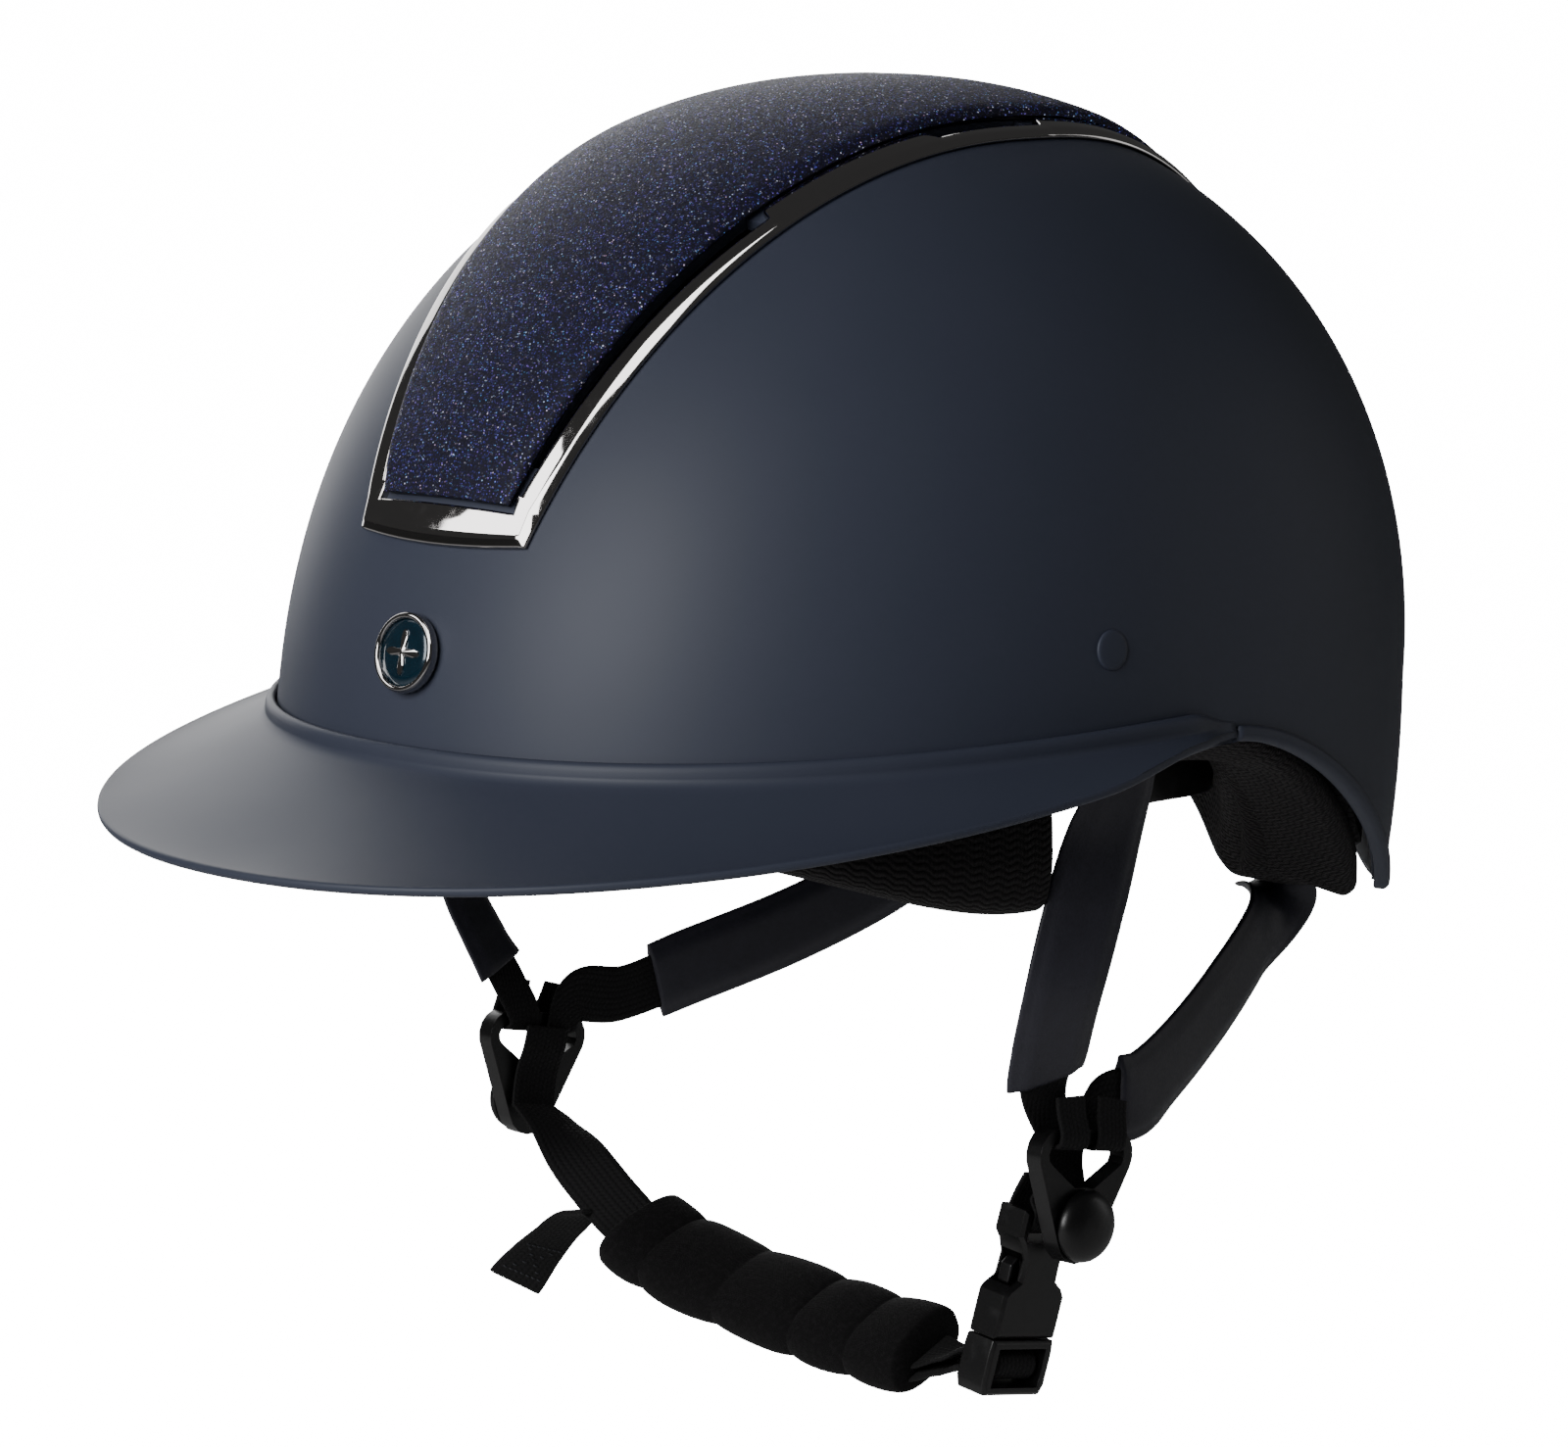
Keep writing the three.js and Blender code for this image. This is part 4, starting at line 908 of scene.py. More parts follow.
# ---------------------------------------------------------------- the helmet's own shape
@dataclass(frozen=True)
class Dome:
    """An oval dome; its size function is 1 on the surface and doubles when a point doubles.

    It has half-sizes across, ahead, behind, up and down, a lean of its top to the rear, and powers that make
    its plan and its profiles squarer than an ellipse.
    """

    half_width: float
    front: float
    rear: float
    height: float
    skirt: float
    lean: float
    plan_front: float
    plan_rear: float
    profile_front: float
    profile_rear: float
    profile_side: float

    def shrunk(self, by: float) -> "Dome":
        """Return the dome with its half-sizes smaller by the amount, all but the skirt's."""
        return replace(self, half_width=self.half_width - by, front=self.front - by, rear=self.rear - by,
                       height=self.height - by)

    def size(self, p: Array) -> Array:
        """Work out (plan^(power/plan's power) + height^power)^(1/power).

        Args:
            p: Points, of shape (..., 3).

        Returns:
            The size at each point.
        """
        y = p[..., 1] - self.lean * np.maximum(p[..., 2], 0)
        ahead = y < 0
        length = np.where(ahead, self.front, self.rear)
        plan = np.where(ahead, self.plan_front, self.plan_rear)
        profile = np.where(ahead, self.profile_front, self.profile_rear)
        along = (np.abs(y) / length) ** plan
        across = (np.abs(p[..., 0]) / self.half_width) ** plan
        total = np.maximum(along + across, TINY)
        power = mix(self.profile_side, profile, along / total)
        height = np.where(p[..., 2] > 0, self.height, self.skirt)
        return (total ** (power / plan) + (np.abs(p[..., 2]) / height) ** power) ** (1 / power)

    def normal(self, p: Array) -> Array:
        """Return the outward direction at points, from differences half a millimetre to each side."""
        steps = np.eye(3) * 0.5
        return unit(np.stack([self.size(p + d) - self.size(p - d) for d in steps], axis=-1))

    def reach(self, angle: Array, z: Array) -> Array:
        """Return the surface's distance from the axis at a turn from the front and a height."""
        angle, z = np.broadcast_arrays(np.asarray(angle, float), np.asarray(z, float))
        return widest(lambda r: self.size(around(angle, r, z)) < 1, angle)

    def at_height(self, angle: Array, z: Array) -> Array:
        """Return the surface point turned by the angle from the front and at a height."""
        return around(angle, self.reach(angle, z), z)

    def on_way(self, angle: Array, rise: Array) -> Array:
        """Return the surface point seen from the origin at a turn and a rise."""
        way = np.stack([np.sin(angle) * np.cos(rise), -np.cos(angle) * np.cos(rise), np.sin(rise)], axis=-1)
        return way / self.size(way)[..., None]

    def wall(self, angle: Array, rim: Array, u: Array) -> Array:
        """Make a grid from the rim up to the crown.

        Args:
            angle: Turns from the front.
            rim: The rim's height at each turn.
            u: Shares of the way up, 0 at the rim and 1 at the crown.

        Returns:
            Points of shape (len(u), len(angle), 3).
        """
        foot = self.at_height(angle, rim)
        low = np.arctan2(rim, np.hypot(foot[..., 0], foot[..., 1]))
        return self.on_way(angle[None, :], mix(low[None, :], math.pi / 2, u[:, None]))


def around(angle: Array, r: Array, z: Array) -> Array:
    """Return points turned by the angle from the front, r from the axis and at height z."""
    angle, r, z = np.broadcast_arrays(np.asarray(angle, float), np.asarray(r, float), np.asarray(z, float))
    return np.stack([np.sin(angle) * r, -np.cos(angle) * r, z], axis=-1)


SHELL = Dome(half_width=112, front=142, rear=154, height=144.5, skirt=206, lean=0.1, plan_front=2.2,
             plan_rear=2.57, profile_front=2.16, profile_rear=1.79, profile_side=2.3)
CAVITY = Dome(half_width=82, front=106, rear=106, height=116, skirt=260, lean=0.06, plan_front=2.2,
              plan_rear=2.3, profile_front=2.2, profile_rear=2.0, profile_side=2.2)
# The liner lies between the shell and the pads, and the pads line the cavity for the head.
LINER_OUTER = SHELL.shrunk(6.4)
LINER_INNER = CAVITY.shrunk(-6.95)
PAD_BACK = LINER_INNER.shrunk(1.9)
# How far the trim and the panel stand off the shell.
GAP = 0.45
# The rim is level in front, drops by a power of the way back and is scooped up behind the nape.
RIM_LEVEL, RIM_DROP, RIM_POWER = 2, 52, 1.75
SCOOP, SCOOP_HALF, SCOOP_RAMP = 17, math.radians(31), math.radians(21)
# Where the vents beside the panel start and end, in degrees from the front.
VENTS: tuple[tuple[float, float], ...] = ((29, 61), (84.5, 98.5))
# The straps hang in a plane that leans like the wearer's jaw.
LEAN = math.radians(12)
REAR = vec(0, math.cos(LEAN), -math.sin(LEAN))
UP = vec(0, math.sin(LEAN), math.cos(LEAN))
LEVEL = vec(1, 1, 0)
UPRIGHT = vec(0, 0, 1)
RINGS_AT = vec(0, -15, -105)
SIDES: tuple[tuple[str, int], ...] = (("left", 1), ("right", -1))


def hang(x: float, a: float, b: float) -> Array:
    """Return a point of the harness plane: x across, a to the rear and b up, leaning as the straps hang."""
    return vec(x, 0, 0) + RINGS_AT + a * REAR + b * UP


def wrap(angle: Array) -> Array:
    """Return angles between minus and plus half a turn."""
    return np.arctan2(np.sin(angle), np.cos(angle))


def rim_at(dome: Dome, angle: Array, start: float = 11, end: float = 108) -> Array:
    """Work out the rim's height: level in front, dropping past the ear and scooped up behind the nape.

    Args:
        dome: The dome whose rim it is.
        angle: Turns from the front.
        start: How far back the rim starts to drop.
        end: How far back it has dropped fully.

    Returns:
        The height at each turn.
    """
    angle = np.asarray(angle, float)
    z = np.zeros_like(angle)
    for _ in range(6):
        y = dome.at_height(angle, z)[..., 1]
        z = RIM_LEVEL - RIM_DROP * np.clip((y - start) / (end - start), 0, 1) ** RIM_POWER
    return z + SCOOP * smooth((SCOOP_HALF - (math.pi - np.abs(wrap(angle)))) / SCOOP_RAMP)


def over_crown(x: Array, angle: Array, rise: Array) -> Array:
    """Find points over the crown.

    Args:
        x: Distance from the middle plane.
        angle: Turn from the front, up and over to the rear.
        rise: Height off the shell.

    Returns:
        The points.
    """
    x, angle, rise = np.broadcast_arrays(*(np.asarray(a, float) for a in (x, angle, rise)))
    point = lambda r: np.stack([x, -np.cos(angle) * r, np.sin(angle) * r], axis=-1)
    p = point(widest(lambda r: SHELL.size(point(r)) < 1, x))
    return p + SHELL.normal(p) * rise[..., None]


def weighted(piece: bpy.types.Object, crease: float = 40.0) -> bpy.types.Object:
    """Weigh a piece's normals by face area, so that flats stay flat between rounded edges.

    Args:
        piece: The piece.
        crease: Angle in degrees past which an edge stays sharp.

    Returns:
        The same piece.
    """
    piece.data.set_sharp_from_angle(angle=math.radians(crease))
    step = piece.modifiers.new("flat_faces", "WEIGHTED_NORMAL")
    step.keep_sharp = True
    return piece


def carved(piece: bpy.types.Object, tools: Sequence[bpy.types.Object]) -> bpy.types.Object:
    """Take the tools' volume out of a piece and delete the tools.

    Args:
        piece: The piece.
        tools: Closed objects.

    Returns:
        The same piece.
    """
    for tool in tools:
        step = piece.modifiers.new("cut", "BOOLEAN")
        step.operation, step.solver, step.object = "DIFFERENCE", "EXACT", tool
    applied(piece)
    for tool in tools:
        bpy.data.objects.remove(tool, do_unlink=True)
    return piece


def brick(name: str, centre: Sequence[float], size: Sequence[float]) -> bpy.types.Object:
    """Make a box.

    Args:
        name: Its name.
        centre: Its centre.
        size: Its size along each axis.

    Returns:
        The new object.
    """
    foot = np.array([[-1, -1, -1], [1, -1, -1], [1, 1, -1], [-1, 1, -1]], float)
    loops = np.stack([foot, foot * vec(1, 1, -1)])
    return loft(name, np.array(centre, float) + loops * np.array(size, float) / 2)


# ---------------------------------------------------------------- bands of cloth
Stop = tuple[Sequence[float], Sequence[float]]


@dataclass(frozen=True)
class Run:
    """Stations along a strap: places, the way it is wide and the way its face looks."""

    at: Array
    across: Array
    face: Array

    @staticmethod
    def along(stops: Sequence[Stop], count: int, first: float = 0.0, last: float = 1.0) -> "Run":
        """Ease a strap through its stops.

        Args:
            stops: Pairs of a place and the way that the strap is wide there.
            count: Number of stations.
            first: Share of the way where the stations start.
            last: Share of the way where they end.

        Returns:
            The stations.
        """
        t = np.linspace(first, last, count)
        places = np.array([s[0] for s in stops], float)
        ways = unit(np.array([s[1] for s in stops], float))
        forward = unit(through(places, t + 1e-4) - through(places, t - 1e-4))
        wide = through(ways, t, 0.2)
        across = unit(wide - forward * np.einsum("ij,ij->i", wide, forward)[:, None])
        return Run(through(places, t), across, np.cross(across, forward))

    def loops(self, outline: Array, width: Array | float, thickness: Array | float) -> Array:
        """Set an outline at every station.

        Args:
            outline: Pairs from -1 to 1, of shape (m, 2), across the strap and off its face.
            width: Width of the strap, or one for each station.
            thickness: Its thickness, likewise.

        Returns:
            Loops of shape (n, m, 3).
        """
        w = np.broadcast_to(np.asarray(width, float), len(self.at))[:, None, None] / 2
        t = np.broadcast_to(np.asarray(thickness, float), len(self.at))[:, None, None] / 2
        outline = np.broadcast_to(outline, (len(self.at), *outline.shape[-2:]))
        return (self.at[:, None, :] + self.across[:, None, :] * outline[..., :1] * w
                + self.face[:, None, :] * outline[..., 1:] * t)

    def point(self, index: Array, w: Array, t: Array) -> Array:
        """Return points w across and t off the middle, in millimetres, at stations."""
        return self.at[index] + self.across[index] * w[..., None] + self.face[index] * t[..., None]

    def travelled(self) -> Array:
        """Return the length of strap up to each station."""
        return np.concatenate([[0.0], np.cumsum(np.linalg.norm(np.diff(self.at, axis=0), axis=-1))])


def both_faces(s: Array, top: Array) -> Array:
    """Return the closed outline that has the height top over s, and the same below it."""
    return np.concatenate([np.stack([s, top], -1), np.stack([s, -top], -1)[::-1][1:-1]])


def woven_outline(count: int = 16) -> Array:
    """Draw a flat band's outline with thin rounded edges and a slightly raised selvedge.

    Args:
        count: Points on each face.

    Returns:
        Pairs from -1 to 1.
    """
    s = np.sin(np.linspace(-1, 1, count) * math.pi / 2)
    selvedge = np.exp(-((np.abs(s) - 0.86) / 0.07) ** 2)
    return both_faces(s, np.sqrt(np.maximum(1 - np.abs(s) ** 14, 0)) * (0.9 + 0.1 * selvedge))


def sewn_outline(count: int = 18) -> Array:
    """Draw a padded cover's outline: full in the middle and pressed flat where its edges are sewn.

    Args:
        count: Points on each face.

    Returns:
        Pairs from -1 to 1.
    """
    s = np.sin(np.linspace(-1, 1, count) * math.pi / 2)
    body = 0.42 + 0.58 * smooth((0.9 - np.abs(s)) / 0.34)
    return both_faces(s, body * np.sqrt(np.maximum(1 - np.abs(s) ** 22, 0)))


def stitches(name: str, middle: Array, along: Array, up: Array, length: float,
             radius: float) -> bpy.types.Object:
    """Make sewn stitches, each a small spindle whose ends dip into the cloth.

    Args:
        name: Name of the piece.
        middle: Middles of the stitches, of shape (n, 3).
        along: Directions in which they lie.
        up: Directions away from the cloth.
        length: Length of one stitch.
        radius: Radius at its middle.

    Returns:
        One object with every stitch.
    """
    along, up = unit(along), unit(up)
    side = np.cross(along, up)
    count = 6
    s = np.linspace(-1, 1, count)
    turn = np.arange(count) / count * FULL_TURN
    r = radius * np.sqrt(np.maximum(1 - s**2, 0.02))
    forth = along[:, None, :] * (s * length / 2)[None, :, None]
    dip = up[:, None, :] * (radius * 1.1 * s**2)[None, :, None]
    centre = middle[:, None, :] + forth - dip
    ring = (np.cos(turn)[None, None, :, None] * side[:, None, None, :]
            + np.sin(turn)[None, None, :, None] * up[:, None, None, :])
    points = centre[:, :, None, :] + ring * r[None, :, None, None]
    base = (np.arange(len(middle)) * count**2)[:, None, None]
    quads = (grid_quads(count, count)[None] + base).reshape(-1, 4)
    last = count * (count - 1)
    first_cap = [[0, k + 1, k] for k in range(1, count - 1)]
    last_cap = [[last, last + k, last + k + 1] for k in range(1, count - 1)]
    cap = np.array(first_cap + last_cap)
    return write_mesh(name, points.reshape(-1, 3), quads, (cap[None] + base).reshape(-1, 3))


# ---------------------------------------------------------------- sub-assemblies
@dataclass(frozen=True)
class Lamp:
    """A rectangular lamp: its place and size in metres, its watts and the only pieces it lights, or all."""

    name: str
    place: tuple[float, float, float]
    size: tuple[float, float]
    power: float
    only: tuple[str, ...] = ()

    def put_up(self) -> None:
        """Put the lamp up so that it looks at the helmet."""
        data = bpy.data.lights.new(self.name, "AREA")
        data.shape, data.size, data.size_y, data.energy = "RECTANGLE", *self.size, self.power
        lamp = bpy.data.objects.new(self.name, data)
        lamp.location = self.place
        lamp.rotation_euler = (Vector((0, 0, 0)) - Vector(self.place)).to_track_quat("-Z", "Y").to_euler()
        bpy.context.scene.collection.objects.link(lamp)
        if self.only:
            lit = bpy.data.collections.new(f"lit_by_{self.name}")
            for piece in self.only:
                lit.objects.link(bpy.data.objects[piece])
            lamp.light_linking.receiver_collection = lit


@dataclass(frozen=True)
class Studio:
    """Camera, floor, sky and lamps.  Floor and sky look bright to the camera but light the helmet dimly."""

    camera_mm: tuple[float, float, float] = (791.48, -880.04, 190.72)
    target_mm: tuple[float, float, float] = (-8.112, -7.433, -7.342)
    lens: float = 113.658
    sensor: float = 36.0
    drop: float = 260.0
    floor_half: float = 9000.0
    floor_thick: float = 20.0
    dim: float = 0.06
    bright: float = 16.0
    mirrors: tuple[str, ...] = ("crown_frame", "badge_ring", "badge_star")

    def place_camera(self) -> None:
        """Set up the camera at a three-quarter view from the wearer's left front."""
        data = bpy.data.cameras.new("camera")
        data.lens, data.sensor_width = self.lens, self.sensor
        camera = bpy.data.objects.new("camera", data)
        camera.location = Vector(self.camera_mm) * MM
        way = Vector(self.target_mm) - Vector(self.camera_mm)
        camera.rotation_euler = way.to_track_quat("-Z", "Y").to_euler()
        bpy.context.scene.collection.objects.link(camera)
        bpy.context.scene.camera = camera

    def sky(self) -> None:
        """Make the white sky."""
        world = bpy.data.worlds.new("studio")
        bpy.context.scene.world = world
        world.use_nodes = True
        tree = world.node_tree
        sky = tree.nodes["Background"]
        sky.inputs["Color"].default_value = (1.0, 1.0, 1.0, 1.0)
        seen = tree.nodes.new("ShaderNodeLightPath")
        level = tree.nodes.new("ShaderNodeMapRange")
        level.inputs["To Min"].default_value = self.dim
        level.inputs["To Max"].default_value = self.bright
        tree.links.new(seen.outputs["Is Camera Ray"], level.inputs["Value"])
        tree.links.new(level.outputs["Result"], sky.inputs["Strength"])

    def floor(self) -> None:
        """Lay the pale floor, low enough for the opened chin strap to hang free."""
        top = CAD_BOX[0][2] / MM - self.drop
        size = (2 * self.floor_half, 2 * self.floor_half, self.floor_thick)
        floor = brick("floor", (0, 0, top - self.floor_thick / 2), size)
        r = Recipe("floor_paint")
        cloud = r.noise(400.0, 2.0)
        shown = r.make("ShaderNodeLightPath", {}, {}).out("Is Camera Ray")
        glow = r.blend(shown, (0.0, 0.0, 0.0), (1.0, 1.0, 1.0))
        pale = r.blend(cloud, (0.55, 0.55, 0.55), (0.57, 0.57, 0.57))
        floor.data.materials.append(r.finish(Base_Color=pale, Roughness=cloud * 0.05 + 0.9,
                                             Emission_Strength=self.bright, Emission_Color=glow))
        floor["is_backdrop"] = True

    def build(self) -> None:
        """Make the sky and the floor and hang the lamps; two of them light only the mirror-bright trim."""
        self.sky()
        self.floor()
        for lamp in (Lamp("key", (0.2, -1.6, 0.68), (1.1, 0.9), 27.0),
                     Lamp("wall", (-1.5, 0.75, 0.6), (1.6, 1.4), 22.0),
                     Lamp("rear", (1.0, 1.8, 0.2), (0.3, 1.2), 1.6),
                     Lamp("strip", (0.62, -0.85, 1.5), (1.5, 1.2), 40.0, self.mirrors),
                     Lamp("card", (-0.78, -1.2, 0.93), (0.75, 0.6), 11.0, self.mirrors)):
            lamp.put_up()


@dataclass(frozen=True)
class ShellAndPeak:
    """Hard shell with its vents, the peak, the edge bead and the side plugs.  Angles are in degrees."""

    wall: float = 3.0
    columns: int = 288
    peak_end: float = 97.0
    peak_half_width: float = 127.4
    peak_half_length: float = 168.7
    peak_centre: float = 26.3
    peak_power: float = 2.12
    fade_from: float = 68.0
    tip_length: float = 9.0
    peak_thick: float = 2.6
    peak_stub: float = 3.6
    seam_low: float = 3.0
    seam_rise: float = 2.2
    edge_curve: tuple[float, float, float] = (2.7, 19.0, 1.5)
    dip: float = 1.6
    dip_power: float = 1.45
    bead_gap: float = 0.5
    vent_edges: tuple[float, float] = (5.2, 9.8)
    vent_depth: tuple[float, float] = (6.0, -52.0)
    plug_at: tuple[float, float, float] = (111.0, 28.0, 25.0)

    def shell(self) -> bpy.types.Object:
        """Make the shell: the outer dome down to the rim, then back up further in, with the vents cut.

        Returns:
            The piece.
        """
        angle = np.arange(self.columns) / self.columns * FULL_TURN
        rim = rim_at(SHELL, angle)
        down = np.concatenate([np.linspace(0.996, 0.06, 76), np.linspace(0.045, 0, 4)])
        outer = SHELL.wall(angle, rim, down)
        inner = SHELL.shrunk(self.wall).wall(angle, rim, np.linspace(0, 0.99, 34))
        piece = loft("shell", np.concatenate([outer, inner]))
        carved(piece, [self.slot(sign, *vent) for sign in (-1, 1) for vent in VENTS])
        piece.data.set_sharp_from_angle(angle=math.radians(50))
        return WARDROBE.dress(piece, Finish.SHELL, stands_for=["outer_shell"])

    def slot(self, sign: int, start: float, end: float) -> bpy.types.Object:
        """Make the cutter of one vent, between the rail and the panel.

        Args:
            sign: 1 on the left and -1 on the right.
            start: Turn from the front where the vent starts.
            end: Turn where it ends.

        Returns:
            The cutter.
        """
        angle = np.radians(np.linspace(start, end, 25))
        half = CrownTrim.half(angle)
        near, far = (half - edge for edge in self.vent_edges)
        high, low = self.vent_depth
        corners = [(near, high), (far, high), (far - 4, low), (near - 4, low)]
        loops = [over_crown(sign * x, angle, rise) for x, rise in corners]
        return loft("tool_vent", np.stack(loops, axis=1))

    def peak_reach(self, angle: Array) -> Array:
        """Work out how far the peak's edge lies from the axis, on an oval |x/a|^p + |(y - c)/b|^p = 1.

        Args:
            angle: Turns from the front.

        Returns:
            The distance at each turn.
        """
        def inside(r: Array) -> Array:
            """Say which distances lie inside the oval."""
            across = np.abs(np.sin(angle) * r) / self.peak_half_width
            along = np.abs(-np.cos(angle) * r + self.peak_centre) / self.peak_half_length
            return across**self.peak_power + along**self.peak_power < 1

        return widest(inside, angle, 300.0)

    def peak(self) -> bpy.types.Object:
        """Make the peak from sections turned about the axis: bead, curved top, rolled lip and underside.

        The edge's height is a - b q + c (2 q^2 - 1), with q its place along the oval, 1 at the tip.

        Returns:
            The piece.
        """
        angle = np.radians(np.linspace(-self.peak_end, self.peak_end, 221))
        seam = self.seam_low + self.seam_rise * np.sin(angle) ** 2
        foot = SHELL.at_height(angle, seam)
        r0 = np.hypot(foot[:, 0], foot[:, 1])
        full = self.peak_reach(angle) - r0
        turned_by = np.abs(np.degrees(angle))
        fade = smooth((turned_by - self.fade_from) / (self.peak_end - self.fade_from))
        width = mix(full, self.peak_stub, fade)
        turn = np.clip((np.cos(angle) * (r0 + full) - self.peak_centre) / self.peak_half_length, -1, 1)
        a, b, c = self.edge_curve
        edge = mix(a - b * turn + c * (2 * turn**2 - 1), seam - 3.2, fade)
        way = unit(foot * LEVEL)
        end = smooth((self.peak_end - turned_by) / self.tip_length)
        width = mix(1.2, width, end)

        def at(out: Array, z: Array) -> Array:
            """Return the points out from the seam and at a height."""
            return way * (r0 + out)[:, None] + UPRIGHT * z[:, None]

        def flare(share: float) -> Array:
            """Return the top's height at a share of the way out: it dips first and flattens to the edge."""
            return mix(edge, seam - self.dip, (1 - share) ** self.dip_power)

        bead = [(0.45, 2.3), (1.2, 2.75), (1.9, 2.6), (2.45, 1.9), (2.75, 0.9), (2.8, -0.3), (2.85, -1.1)]
        loops = [at(mix(0.3, out, end), seam + mix(-1.2, rise, end)) for out, rise in bead]
        top = np.concatenate([[0.04, 0.09, 0.16], np.linspace(0.24, 0.975, 15)])
        loops += [at(mix(mix(0.5, 2.9, end), width, s), flare(s)) for s in top]
        lip = [(0.35, 0.02), (0.1, -0.3), (0.0, -0.8), (0.1, -1.35), (0.45, -1.8), (1.0, -2.1)]
        loops += [at(width - out, edge + drop) for out, drop in lip]
        under_start, under_end = mix(0.1, 2.0, end), width - 1.6 * end
        loops += [at(mix(under_start, under_end, s), flare(s) - self.peak_thick)
                  for s in np.linspace(0.95, 0.06, 12)]
        loops += [at(mix(0.0, 0.7, end), seam - 4.6)]
        return WARDROBE.dress(loft("peak", np.stack(loops, axis=1)), Finish.SHELL, stands_for=["brim"])

    def bead(self) -> bpy.types.Object:
        """Make the bead that closes the rim over the ears and behind the nape.

        Returns:
            The piece.
        """
        start = math.radians(self.peak_end + self.bead_gap)
        angle = np.linspace(start, FULL_TURN - start, 241)
        foot = SHELL.at_height(angle, rim_at(SHELL, angle))
        out = unit(foot * LEVEL)
        corners = [(0.8, 1.4), (1.5, 0.7), (1.6, -1.4), (0.4, -2.6), (-2.6, -2.3), (-2.8, -0.7), (0.8, -0.7)]
        loops = np.stack([foot + out * o + UPRIGHT * up for o, up in corners], axis=1)
        piece = loft("edge_bead", rounded_outline(loops, 1.0, 5))
        return WARDROBE.dress(piece, Finish.SHELL, stands_for=["edge_trim"])

    def plugs(self) -> None:
        """Set a shallow round plug into each side."""
        profile = [(0, -0.5), (4.4, -0.4), (4.6, -0.2), (4.55, 0.25), (4.3, 0.45), (3.6, 0.55), (1.8, 0.6),
                   (0, 0.62)]
        out, ahead, height = self.plug_at
        for side, sign in SIDES:
            seat = SHELL.at_height(math.atan2(sign * out, ahead), height)
            piece = turned(f"plug_{side}", profile, seat, SHELL.normal(seat), UPRIGHT)
            WARDROBE.dress(piece, Finish.SHELL, stands_for=[f"side_plug_{side}"])

    def build(self) -> None:
        """Build every part of the shell."""
        self.shell()
        self.peak()
        self.bead()
        self.plugs()


